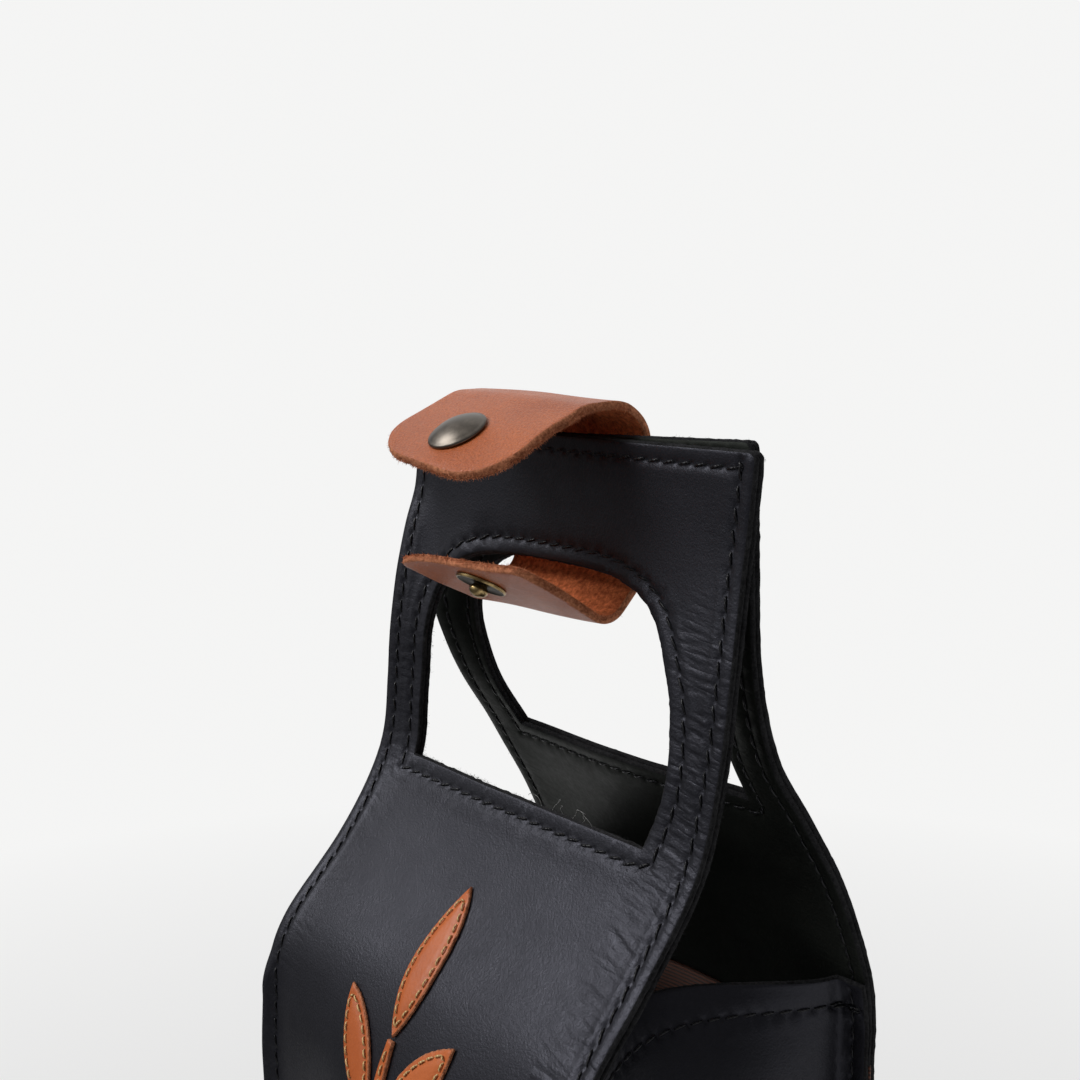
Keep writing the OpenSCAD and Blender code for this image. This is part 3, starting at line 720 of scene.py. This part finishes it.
ANTIQUE = metal("antique_brass", (0.11, 0.096, 0.082), (0.165, 0.144, 0.122), 0.36, 0.1)
DISH = metal("blackened_brass", (0.008, 0.0075, 0.007), (0.085, 0.07, 0.045), 0.5, 0.85)
BRASS = metal("worn_brass", (0.22, 0.15, 0.07), (0.5, 0.37, 0.17), 0.3, 0.5)
STEEL = metal("spring_steel", (0.42, 0.42, 0.43), (0.6, 0.6, 0.6), 0.28, 0.4)
FIBRE = board("fibre_board", (0.16, 0.105, 0.06), (0.34, 0.24, 0.15))


def finish_piece(piece, node=None, body="bag"):
    """Rides a piece on its body and hides the CAD node that it stands for."""
    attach(piece, body)
    if node:
        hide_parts(node)


# ---- panels, facings and linings ----

CREASE_TOP, CREASE_FOOT = 24.0, 128.0


def wrinkles():
    """Creases across the strips beside the hole, where the leather bends, and below the hole's corners.
    They are weaker on the left."""
    folds = []
    for end, share in ((-1, 0.45), (1, 1.0)):
        h = CREASE_TOP
        while h < CREASE_FOOT:
            h += rng.uniform(1.4, 4.0)
            strong = 0.35 + 0.65 * smooth((h - 30) / 20) * smooth((CREASE_FOOT - h) / 30)
            tilt, bend, phase = rng.uniform(-0.1, 0.34), rng.uniform(0.1, 0.5), rng.uniform(0, 6.3)
            deep = rng.uniform(0.05, 0.19) * strong * share
            folds.append((end, h, tilt, bend, phase, deep,
                          rng.uniform(38.5, 48), rng.uniform(2.5, 7.0), rng.uniform(0.3, 0.45)))

    def wave(flat):
        x, h = flat.T
        out = np.zeros(len(flat))
        for end, at, tilt, bend, phase, deep, mid, half, wide in folds:
            near_it = (np.abs(h - at) < 4) & (x * end > 30)
            a, b = x[near_it] * end, h[near_it]
            d = b - at - tilt * (a - 44) - bend * np.sin(0.45 * a + phase)
            cut = np.exp(-(d / wide) ** 2) - 0.45 * np.exp(-((np.abs(d) - 1.0) / 0.55) ** 2)
            out[near_it] += np.exp(-((a - mid) / half) ** 4) * deep * cut
        return out
    return wave


def strip_points(hole_path):
    """Finer mesh for the creased strips, clear of the seams."""
    flat = staggered(36.5, HALF_W - 0.6, CREASE_TOP, CREASE_FOOT + 2, 0.62)
    flat = np.concatenate([flat * [end, 1] for end in (-1, 1)])
    free = (near(flat, hole_path) > 1.5) & (np.abs(HALF_W - np.abs(flat[:, 0]) - INSET) > 1.5)
    return [*flat[free]]


def lining(name, place, outline, step, depth, spacing, node):
    cover = sheet(name, dense(outline, step), [], place, depth, depth + CLOTH, [LINING] * 3, spacing,
                  e=0.15, rough=0)
    finish_piece(cover, node)


LINING_FOOT = BASE_RIM + RIM_GAP
for side, tag in ((FRONT, "front"), (BACK, "back")):
    place = partial(panel_at, side)
    hole_path = offset(hole_outline(side), -INSET)
    runs = [spaced(panel_outline(BAG_H, INSET), place), spaced(hole_path, place, closed=True)]
    dent, wave = seam_dent(runs), wrinkles()
    pits = pit_points(runs)
    outline, hole = dense(panel_outline(BAG_H), 1.1), dense(hole_outline(side), 0.9)
    panel = sheet(tag + "_panel_leather", outline, [hole], place, 0.0, LEATHER,
                  [BLACK_STRIP, BLACK_BACK, BLACK_EDGE], 1.7, pits + strip_points(hole_path),
                  dent=lambda f: dent(f) + wave(f))
    finish_piece(panel, tag + "_panel")
    facing = sheet(tag + "_facing_leather", dense(panel_outline(FACING_DROP), 1.3), [hole], place,
                   LEATHER, 2 * LEATHER, [BLACK_BACK, FACING, BLACK_EDGE], 2.2,
                   [p for p in pits if p[1] < FACING_DROP - 1], dent_in=dent)
    finish_piece(facing, tag + "_facing")
    lining(tag + "_lining_cloth", place, block(HALF_W, FACING_DROP + 0.1, BAG_H - LINING_FOOT), 2.5,
           LEATHER, 4.0, tag + "_lining")
    finish_piece(stitches(tag + "_outer_stitches", runs, place, THREAD_DEPTH, BLACK_THREAD, slant=0.42))
    nap = partial(fuzz, depth=2 * LEATHER, mat=BLACK_NAP, length=(0.15, 0.5), thick=0.03, back=0.2)
    finish_piece(nap(tag + "_rim_nap", place, outline, 900, keep=lambda a: a[:, 1] < 120))
    finish_piece(nap(tag + "_hole_nap", place, hole[::-1], 700, out_share=-0.5))
    finish_piece(stitches(tag + "_inner_stitches", above(runs, FACING_DROP - 2), place,
                          2 * LEATHER - THREAD_DEPTH, BLACK_THREAD, sign=-1))

# A few thin loose thread ends curl up from the seam at the foot of the front hole
curls, t = [], np.linspace(0, 1, 22)
for x0, lean, high in ((8.0, -0.6, 4.0), (11.0, 0.5, 5.5), (14.5, -0.4, 3.5),
                       (17.0, 0.9, 5.0), (20.0, 0.4, 3.0), (23.0, -0.8, 4.5)):
    a = rng.uniform(0, 6.3) + 5.5 * t
    line = np.stack([lean * 5 * t + 0.9 * (np.cos(a) - math.cos(a[0])) * t, 0.6 * np.sin(a) * t,
                     high * (t - 0.55 * t ** 3)], 1)
    curls.append(panel_at(FRONT, x0, HOLE_FOOT + 0.2, 1.0) + line)
finish_piece(wires("front_loose_ends", curls, 0.05, 6, LOOSE))


# ---- gussets ----

GUSSET_H = BAG_H - GUSSET_DROP
FOLD_X = HALF_W - FLANGE_W
FLANGE_DEPTH = 2 * LEATHER + LAY_GAP + GUSSET_T / 2
FOLD_ARC = FOLD_R * math.pi / 2
HALF_WALL = 45.0
HALF_PLAN = HALF_WALL + FOLD_ARC + (FLANGE_W - FOLD_R)
FLANGE_X = 47.0


def level_y(side, x, z, depth):
    """Y of a layer at a height, some depth inside a panel's outer face."""
    h = BAG_H - z
    k = slope(side, x, h)
    return LEAN + side * (reach(side, h) + stand_out(side, x, h) - depth * np.sqrt(1 + k * k))


def gusset_middle(sign, v, z):
    """Middle surface of a gusset: flange, fold, bowed wall, fold, flange."""
    a, b = (level_y(side, sign * FLANGE_X, z, FLANGE_DEPTH) for side in (FRONT, BACK))
    bow = BOW * np.maximum(0, 1 - (GUSSET_H - z) / BOW_H) ** 2
    w = np.abs(v)
    u = np.clip((v + HALF_WALL) / (2 * HALF_WALL), 0, 1)
    x = FOLD_X - bow * np.sin(np.pi * u) ** 1.4
    y = a + FOLD_R + (b - a - 2 * FOLD_R) * u
    t = np.clip((w - HALF_WALL) / FOLD_ARC, 0, 1) * math.pi / 2
    x = np.where(w > HALF_WALL, FOLD_X + FOLD_R * (1 - np.cos(t)), x)
    fold_y = np.where(v < 0, a, b) + np.where(v < 0, 1.0, -1.0) * FOLD_R * (1 - np.sin(t))
    y = np.where(w > HALF_WALL, fold_y, y)
    x = x + np.clip(w - HALF_WALL - FOLD_ARC, 0, None)
    return np.stack([sign * x, y, z + 0 * x], -1)


def gusset_at(sign, middle, v, h, depth):
    """Points of a gusset at a plan place v and a drop h from its top, some depth inside its outer face."""
    v, h, depth = floats(v, h, depth)
    z = GUSSET_H - h
    e = 0.05
    dv = gusset_middle(sign, v + e, z) - gusset_middle(sign, v - e, z)
    dz = gusset_middle(sign, v, z + e) - gusset_middle(sign, v, z - e)
    return gusset_middle(sign, v, z) + unit(np.cross(dv, dz)) * sign * (middle - depth)[..., None]


for sign, tag in ((-1, "left"), (1, "right")):
    place = partial(gusset_at, sign, GUSSET_T / 2)
    w, foot, seed = HALF_PLAN, GUSSET_H, sign * 2.1
    edge_v = w - INSET
    lines = [[(-w + 1.2, 6), (w - 1.2, 6)], [(-edge_v, 2.0), (-edge_v, foot - INSET)],
             [(edge_v, 2.0), (edge_v, foot - INSET)], [(-HALF_WALL, foot - 4.6), (HALF_WALL, foot - 4.6)]]
    lines += [[(s * (w - 1.4), 6.7), (s * (w - 9), 6.7)] for s in (-1, 1)]
    runs = [spaced(line, place) for line in lines]
    dent = seam_dent(runs)

    def creased(flat):
        """Upright creases beside the folds, deepest at the top, and faint dents in the wall."""
        v, h = flat.T
        near_fold = np.exp(-((np.abs(v) - 40.5) / 2.6) ** 2)
        fine = np.sin(v * 2.6 + 1.2 * np.sin(h * 0.11 + seed)) * smooth((70 - h) / 60 + 0.25)
        return dent(flat) + (0.1 * near_fold * fine
                             + 0.12 * np.sin(h * 0.05 + seed) * np.sin(v * 0.11 + seed))

    leather_side = sheet(tag + "_gusset_leather", dense(block(w, 0, foot), 1.3), [], place, 0.0, GUSSET_T,
                         [BLACK, BLACK_BACK, BLACK_EDGE], 2.0, pit_points(runs), dent=creased)
    finish_piece(leather_side, tag + "_gusset")
    finish_piece(stitches(tag + "_gusset_stitches", runs, place, THREAD_DEPTH, BLACK_THREAD))
    finish_piece(stitches(tag + "_hem_inner_stitches", runs[:1], place, GUSSET_T - 0.05, BLACK_THREAD,
                          sign=-1))
    lining(tag + "_gusset_lining_cloth", partial(gusset_at, sign, -GUSSET_T / 2 - LAY_GAP),
           block(HALF_WALL * 12 / 14, 1.5, foot - LINING_FOOT), 2.0, 0.0, 3.0, tag + "_gusset_lining")


# ---- base ----

def stacked(name, hx, hy, r, steps, mats, ring_mats=None):
    """A closed skin over rounded rectangles: each step is an inset and a height."""
    verts = []
    for inset, z in steps:
        pts = []
        for cx, cy, a in ((1, 1, 0), (-1, 1, 90), (-1, -1, 180), (1, -1, 270)):
            k = max(r - inset, 0.15)
            pts += arc(cx * (hx - inset - k), cy * (hy - inset - k), k, a, a + 90, 9)
        for i, p in enumerate(pts):
            verts.append((*p, z))
            if i % 9 == 8:
                q = pts[(i + 1) % len(pts)]
                verts += [(p[0] + (q[0] - p[0]) * t, p[1] + (q[1] - p[1]) * t, z)
                          for t in np.linspace(0, 1, 26)[1:-1]]
    sides = len(verts) // len(steps)
    fm = [m for m in ring_mats or [0] * (len(steps) - 1) for _ in range(sides)]
    return make(name, verts, tube(len(steps), sides), mats, fm + [fm[0], fm[-1]], 50)


TRAY_X, TRAY_Y = FOLD_X - GUSSET_T / 2 - LAY_GAP, HALF_D - LEATHER - LAY_GAP
tray = stacked("base_leather", TRAY_X, TRAY_Y, 2.2, [
    (30, 0), (8, 0), (1.3, 0), (0.5, 0.2), (0.1, 0.7), (0, 1.5), (0, 7.2), (0.15, 7.7), (0.5, 8.0),
    (1.1, 8.0), (1.45, 7.7), (1.6, 7.2), (1.6, 2.2), (1.9, 1.7), (8, 1.6), (30, 1.6)],
    [BLACK, BLACK_EDGE], [0] * 7 + [1, 1, 1] + [0] * 5)
finish_piece(tray, "base_panel")
IN_TRAY = BASE_T + LAY_GAP
pad = stacked("base_lining_cloth", TRAY_X - IN_TRAY, TRAY_Y - IN_TRAY, 1.5, [
    (30, 3.62), (8, 3.62), (0.4, 3.62), (0, 3.85), (0.1, 4.1), (0.4, 4.22), (8, 4.3), (30, 4.25)], [LINING])
finish_piece(pad, "base_lining")

# The base board needs no finer shape: its own solid takes the fibreboard
board_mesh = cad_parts["base_board"].data
board_mesh.materials.clear()
board_mesh.materials.append(FIBRE)


# ---- wrap ----

WRAP_W, WRAP_T, WRAP_X = 41.0, 2.0, -3.0
GRAIN, FLESH = 0.18, 1.82


def bend_line(points, radii, step=0.4):
    """A line through corners, each rounded with its radius, as evenly spaced points."""
    points = np.array(points, float)
    out = [points[0]]
    for a, b, c, r in zip(points, points[1:], points[2:], radii):
        u, v = (a - b) / np.linalg.norm(a - b), (c - b) / np.linalg.norm(c - b)
        half = math.acos(np.clip(u @ v, -1, 1)) / 2
        centre = b + (u + v) / np.linalg.norm(u + v) * r / math.sin(half)
        p, q = b + u * r / math.tan(half), b + v * r / math.tan(half)
        t0, t1 = math.atan2(*(p - centre)[::-1]), math.atan2(*(q - centre)[::-1])
        d = (t1 - t0 + math.pi) % (2 * math.pi) - math.pi
        turns = [t0 + d * k / 16 for k in range(17)]
        out += [centre + r * np.array([math.cos(t), math.sin(t)]) for t in turns]
    out = np.array(out + [points[-1]])
    s = lengths(out)
    return evenly(out, s, int(s[-1] / step) + 1)


# The wrap's middle line in y and z, from the upper flap's tip over and behind the bars to the lower flap's
WRAP_LINE = bend_line([(-34.02, -5.59), (-10.36, 8.15), (7.43, 9.40), (5.025, -28.775), (-3.777, -37.44),
                       (-27.05, -24.75)], [9.0, 10.0, 5.0, 5.5])
WRAP_S = lengths(WRAP_LINE)
WRAP_L = WRAP_S[-1]
LINE_Y, LINE_Z = WRAP_LINE.T
CREST_S, CURL_S = WRAP_S[LINE_Z.argmax()], WRAP_S[LINE_Z.argmin()]
REAR_S = WRAP_S[(LINE_Y > 0) & (LINE_Z < -12) & (WRAP_S > CREST_S)][0]


def wrap_at(v, s, depth):
    """Points of the wrap at a place across and a length along it, some depth inside its grain side."""
    v, s, depth = floats(v, s, depth)
    e = 0.6
    on = np.clip(s, e, WRAP_L - e)
    ty, tz = (np.interp(on + e, WRAP_S, line) - np.interp(on - e, WRAP_S, line) for line in (LINE_Y, LINE_Z))
    n = np.hypot(ty, tz)
    ty, tz = ty / n, tz / n
    y = np.interp(on, WRAP_S, LINE_Y) + (s - on) * ty
    z = np.interp(on, WRAP_S, LINE_Z) + (s - on) * tz
    ny, nz = -tz, ty
    d = WRAP_T / 2 - depth
    # both flaps tilt across their width, and the lower one curls at its end
    up = np.clip((CREST_S + 4 - s) / (CREST_S + 4), 0, 1)
    low = np.clip((s - CURL_S) / (WRAP_L - CURL_S), 0, 1)
    across = v / WRAP_W
    crest = smooth(1.25 - np.abs(s - CREST_S) / 18)
    z = (z + nz * d + across * (1.67 * smooth(up * 3) - 9.63 * up) - 2.43 * (across + 0.5) * crest
         + across * 1.99 * smooth(low * 1.5))
    y = y + ny * d - across * 0.2 * smooth(up * 1.2) + 1.06 * across * crest - across * 0.7 * smooth(low)
    z = z + low * low * (0.6 * np.cos(np.pi * (v + 7) / 27) - 0.5 * smooth((-v - 12) / 8))
    wave = 0.35 * np.sin(v / 9.0 + s / 15.0) * (1 - 0.7 * np.abs(across))
    return np.stack([WRAP_X + v, LEAN + y + ny * wave, BAG_H + z + nz * wave], -1)


def strip_outline(s0, s1, r0, r1):
    """A strip of the wrap from s0 to s1, with a corner radius at each end."""
    w = WRAP_W / 2
    pts = []
    for end, s, r, a in ((-1, s0, r0, 180), (1, s0, r0, 270), (1, s1, -r1, 0), (-1, s1, -r1, 90)):
        k = abs(r)
        pts += arc(end * (w - k), s + r, k, a, a + 90, 14) if k else [(end * w, s)]
    return dense(pts, 0.7)


# The two flaps' outlines, across and along the wrap, meeting behind the bars
UPPER, LOWER = strip_outline(0, REAR_S, 13.0, 0), strip_outline(REAR_S, WRAP_L, 0, 3.0)


def wrap_sheet(name, outline):
    return sheet(name, outline, [], wrap_at, GRAIN, FLESH, [TAN, TAN_BACK, TAN_EDGE], 1.0, e=0.3, rough=0.12,
                 fixed=lambda a: np.abs(a[:, 1] - REAR_S) < 1e-6)


def finish_wrap(piece, flap, *nodes):
    if nodes:
        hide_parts(*nodes)
    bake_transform(piece)


finish_wrap(wrap_sheet("wrap_upper", UPPER), "cap_flap", "upper_flap", "wrap_back")
finish_wrap(wrap_sheet("wrap_lower", LOWER), "stud_flap", "lower_flap")
finish_wrap(fuzz("wrap_upper_nap", wrap_at, UPPER, 4200, FLESH, TAN_NAP, (0.12, 0.42), 0.065,
                 keep=lambda a: a[:, 1] < CREST_S + 5), "cap_flap")
finish_wrap(fuzz("wrap_lower_nap", wrap_at, LOWER, 2600, FLESH - 0.15, TAN_NAP, (0.12, 0.42), 0.06,
                 keep=lambda a: a[:, 1] > CURL_S - 3, back=0.25), "stud_flap")


# ---- snap ----

def frame_on_wrap(s, side):
    """Origin on one face of the wrap and the axes there, with the last one pointing away from the leather."""
    depth = GRAIN if side > 0 else FLESH
    ax = unit(wrap_at(1.0, s, depth) - wrap_at(-1.0, s, depth))
    n = unit(np.cross(ax, wrap_at(0.0, s + 0.5, depth) - wrap_at(0.0, s - 0.5, depth)))
    if (wrap_at(0.0, s, -1.0) - wrap_at(0.0, s, 1.0)) @ n < 0:
        n = -n
    n = n * side
    return wrap_at(0.0, s, depth), ax, np.cross(n, ax), n


def lathe(name, profile, at, mats, zones=None, sides=72):
    """A turned piece: (radius, height) points from the axis out and back to it, and a material for each
    step between them."""
    o, ax, ay, n = at
    turn = np.linspace(0, 2 * math.pi, sides, endpoint=False)
    verts, faces, fm = [], [], []
    for i, (r, h) in enumerate(profile):
        count = sides if r else 1
        ring = len(verts) + np.arange(sides) % count
        verts += [o + ax * r * math.cos(t) + ay * r * math.sin(t) + n * h for t in turn[:count]]
        if i:
            quads = zip(last, ring, np.roll(ring, -1), np.roll(last, -1))
            faces += [tuple(dict.fromkeys(q)) for q in quads]
            fm += [zones[i - 1] if zones else 0] * sides
        last = ring
    return make(name, verts, faces, mats, fm, 40)


CAP_S, STUD_S = 10.64, WRAP_L - 8.42
PIN_FOOT = 0.3 - WRAP_T
DOME = [(r, 0.75 + 1.75 * (1 - (r / 5.9) ** 2) ** 0.85) for r in np.linspace(0, 5.75, 16)]
CAP_RIM = [(5.95, 0.86), (6.15, 0.66), (6.25, 0.42), (6.2, 0.16), (6.0, -0.02), (5.6, -0.12), (1.8, -0.2),
           (1.8, PIN_FOOT), (0, PIN_FOOT)]
SOCKET = [(4.9, 0.0), (5.2, 0.25), (5.2, 0.9), (4.9, 1.15), (4.3, 1.3), (4.1, 1.7), (4.0, 2.5), (3.8, 2.85),
          (3.4, 3.0), (2.9, 2.92), (2.55, 2.6), (2.5, 2.0), (2.5, 0.5), (0, 0.5)]
STUD = [(0, 3.1), (0.6, 3.04), (1.2, 2.82), (1.68, 2.42), (1.97, 1.95), (2.0, 1.5), (1.82, 1.1), (1.55, 0.82),
        (1.45, 0.6), (1.9, 0.4), (3.2, 0.3), (4.4, 0.42), (4.9, 0.62), (5.08, 0.74), (5.28, 0.72),
        (5.4, 0.52), (5.4, 0.15), (5.2, 0.0), (1.5, -0.1), (1.5, PIN_FOOT), (0, PIN_FOOT)]
POST = [(0, 0.42), (3.4, 0.38), (4.1, 0.3), (4.4, 0.12), (4.4, 0.0), (0, -0.05)]
STUD_ZONES = [0] * 8 + [1] * 5 + [0] * 4 + [1] * 4
PLAIN = "antique_brass", [ANTIQUE], None
for node, end, profile, flap, s, face, (slot, mats, zones) in (
        ("snap_cap", "_dome", DOME + CAP_RIM, "cap_flap", CAP_S, 1, PLAIN),
        ("snap_socket", "_ring", SOCKET, "cap_flap", CAP_S, -1, PLAIN),
        ("snap_stud", "_knob", STUD, "stud_flap", STUD_S, 1, ("bright_brass", [BRASS, DISH], STUD_ZONES)),
        ("snap_post", "_head", POST, "stud_flap", STUD_S, -1, PLAIN)):
    finish_piece(lathe(node + end, profile, frame_on_wrap(s, face), mats, zones), node, flap)

o, ax, ay, n = frame_on_wrap(CAP_S, -1)
bows = [[o + ax * x + ay * k * (2.1 + 0.12 * (x / 3.6) ** 2) + n * 2.1 for x in np.linspace(-3.6, 3.6, 13)]
        for k in (-1, 1)]
finish_piece(wires("socket_spring_wires", bows, 0.3, 8, STEEL), "socket_spring", "cap_flap")


# ---- sprig ----

LEAF_L, LEAF_W, SPRIG_T, SPRIG_H, LEAF_PAIRS = 25.0, 8.4, 1.1, 128.0, 5
SPRIG_TOP = HOLE_FOOT + 2 * LEAF_W
FOOT_TOP, SPRIG_FOOT = SPRIG_TOP + LEAF_L, SPRIG_TOP + SPRIG_H


def on_front(x, h, depth):
    return panel_at(FRONT, x, h, depth - 0.02)


def leaf_points(length, width, n=26):
    """A pointed leaf's outline from its foot at the origin to its tip."""
    r = (length * length / width + width) / 4
    half = math.asin(length / 2 / r)
    right = [(r * math.cos(t) - (r - width / 2), length / 2 + r * math.sin(t))
             for t in np.linspace(-half, half, n)]
    return right + [(-x, y) for x, y in right[::-1][1:-1]]


def sewn_on(name, thread_name, node, outline, runs, dent, low, thread_low, spacing, e, rough, extra=()):
    """A piece of motif leather on the front panel, with its stitches; low is how far below the motif's
    full thickness its face starts."""
    piece = sheet(name, outline, [], on_front, low - SPRIG_T, 0.0, [MOTIF, TAN_BACK, TAN_EDGE], spacing,
                  extra, e=e, rough=rough, dent=dent)
    finish_piece(piece, node)
    sewn = stitches(thread_name, runs, on_front, thread_low - SPRIG_T, TAN_THREAD, 0.21, 0.1, 0.0)
    finish_piece(sewn, None)


def leaf_piece(name, foot_x, foot_h, angle, node=None):
    c, s = math.cos(math.radians(angle)), math.sin(math.radians(angle))

    def turn(pts):
        x, y = np.asarray(pts, float).T
        return np.column_stack([foot_x + x * c + y * s, foot_h + x * s - y * c])

    outline = turn(dense(leaf_points(LEAF_L, LEAF_W), 0.5))
    seam = turn(dense(leaf_points(LEAF_L - 3.4, LEAF_W - 2.2) + np.array([0, 1.7]), 0.4))
    runs = [spaced(seam, on_front, 2.3, closed=True)]
    dent = seam_dent(runs, deep=0.16, groove=0.14, bulge=0.0)
    pits = [q for p in runs[0] for q in round_points(p, 0.35, 72)]
    sewn_on(name, name + "_thread", node, outline, runs,
            lambda f: dent(f) - 0.25 * smooth(near(f, outline) / 2.2), 0.25, 0.05, 0.75, 0.22, 0.05, pits)


leaf_piece("leaf_top", 0.0, FOOT_TOP, 0.0, "sprig_leaves")
step = (SPRIG_H - LEAF_L) / LEAF_PAIRS
w = LEAF_W * 0.3 / 2  # half the stem's width
for i in range(LEAF_PAIRS):
    for k, tag in ((-1, "left"), (1, "right")):
        leaf_piece("leaf_%s_%d" % (tag, i + 1), k * (w + 0.8), FOOT_TOP + step * (i + 0.75), k * 38.0)

stem_line = [(-w * 0.7, FOOT_TOP + 0.4), (w * 0.7, FOOT_TOP + 0.4), (w, FOOT_TOP + 6), (w, SPRIG_FOOT),
             (-w, SPRIG_FOOT), (-w, FOOT_TOP + 6)]
stem_run = [spaced([(0, FOOT_TOP + 2), (0, SPRIG_FOOT - 2)], on_front, 2.6)]
sewn_on("sprig_stem_leather", "sprig_stem_thread", "sprig_stem", dense(stem_line, 0.6), stem_run,
        seam_dent(stem_run, deep=0.14, groove=0.12, bulge=0.0), 0.1, 0.0, 0.7, 0.2, 0.04)


# ---- camera, lights and floor ----

FOCAL_PX, FRAME_PX = 1195, 1080
YAW, PITCH_DOWN, ROLL = np.radians((50.4, 6.2, 0.6))
camera = linked("camera", bpy.data.cameras.new("camera"))
camera.data.sensor_width = 36
camera.data.lens = FOCAL_PX / FRAME_PX * 36
camera.data.clip_start, camera.data.clip_end = 0.01, 50
camera.location = Vector((187.8, -160.2, 379.8)) * MM
turns = (YAW, "Z"), (math.pi / 2 - PITCH_DOWN, "X"), (-ROLL, "Z")
around, down, roll = (Matrix.Rotation(angle, 3, axis) for angle, axis in turns)
camera.rotation_euler = (around @ down @ roll).to_euler()
bpy.context.scene.camera = camera

# A room round the carrier by compass direction: bright behind it and at its left front, dimmer elsewhere,
# under a pale ceiling. The backdrop is evenly pale in straight view and in what mirrors it.
PAPER, WALL, CEILING = (0.91, 0.91, 0.905), (0.865, 0.865, 0.86), (0.45, 0.45, 0.45)
ROOM = [(-180, 0.2), (-152, 0.2), (-138, 0.6), (-112, 0.8), (-88, 0.3), (-40, 0.14), (60, 0.14), (92, 0.4),
        (108, 1.0), (164, 1.0), (176, 0.3)]
world = bpy.data.worlds.new("studio")
bpy.context.scene.world = world
n = Nodes(world, "Background")
way = n.add("SeparateXYZ")
n.feed(way.inputs[0], n.coords["Generated"])
turn = n.mapped(n.maths("ARCTAN2", way.outputs["Y"], way.outputs["X"]), -math.pi, math.pi)
walls = n.ramp(turn, *(((a + 180) / 360, tuple(c * v for c in WALL)) for a, v in ROOM))
room = n.blend(n.mapped(way.outputs["Z"], 0.45, 0.8), walls, CEILING)
path = n.add("LightPath").outputs
mirrored = n.maths("MULTIPLY", path["Is Glossy Ray"], n.mapped(walls, 0.6, 0.86))
shown = n.maths("MAXIMUM", path["Is Camera Ray"], path["Is Transmission Ray"], mirrored)
n.shade(Color=n.blend(shown, room, PAPER), Strength=1.0)

sun = linked("sun", bpy.data.lights.new("sun", "SUN"))
sun.data.energy = 2.0
sun.data.angle = math.radians(30)
sun.rotation_euler = (math.radians(48), 0, math.radians(-38))

me = bpy.data.meshes.new("floor")
me.from_pydata([(-6, -6, 0), (6, -6, 0), (6, 6, 0), (-6, 6, 0)], [], [(0, 1, 2, 3)])
floor = linked("floor", me)
paper, n = surface("floor_paper")
along = n.add("VectorMath", operation="DOT_PRODUCT")
along.inputs[1].default_value = (0.45, 1.0, 0)
far = n.add("VectorMath", operation="LENGTH")
for measure in (along, far):
    n.feed(measure.inputs[0], n.coords["Object"])
path = n.add("LightPath").outputs
# In mirrors and in bounced light, the paper ends a little in front of the carrier
sheet_end = n.maths("MAXIMUM", n.mapped(along.outputs["Value"], -0.4, -0.12), path["Is Camera Ray"])
n.shade(Base_Color=n.blend(sheet_end, (0.12, 0.12, 0.12), (0.88, 0.88, 0.88)),
        Roughness=1.0, Specular_IOR_Level=0.0)
# Far from the carrier the paper rises out of the light and takes the backdrop's own colour
seen = n.maths("MAXIMUM", path["Is Camera Ray"], path["Is Glossy Ray"], path["Is Transmission Ray"])
fade = n.maths("MULTIPLY", n.mapped(far.outputs["Value"], 0.25, 0.9), sheet_end, seen)
glow = n.add("Emission")
n.feed(glow.inputs["Color"], PAPER)
both = n.add("MixShader")
for socket, value in zip(both.inputs, (fade, n.shader.outputs[0], glow.outputs[0])):
    n.feed(socket, value)
n.feed(n.tree.nodes["Material Output"].inputs["Surface"], both.outputs[0])
me.materials.append(paper)

bpy.context.scene.view_settings.view_transform = "Standard"
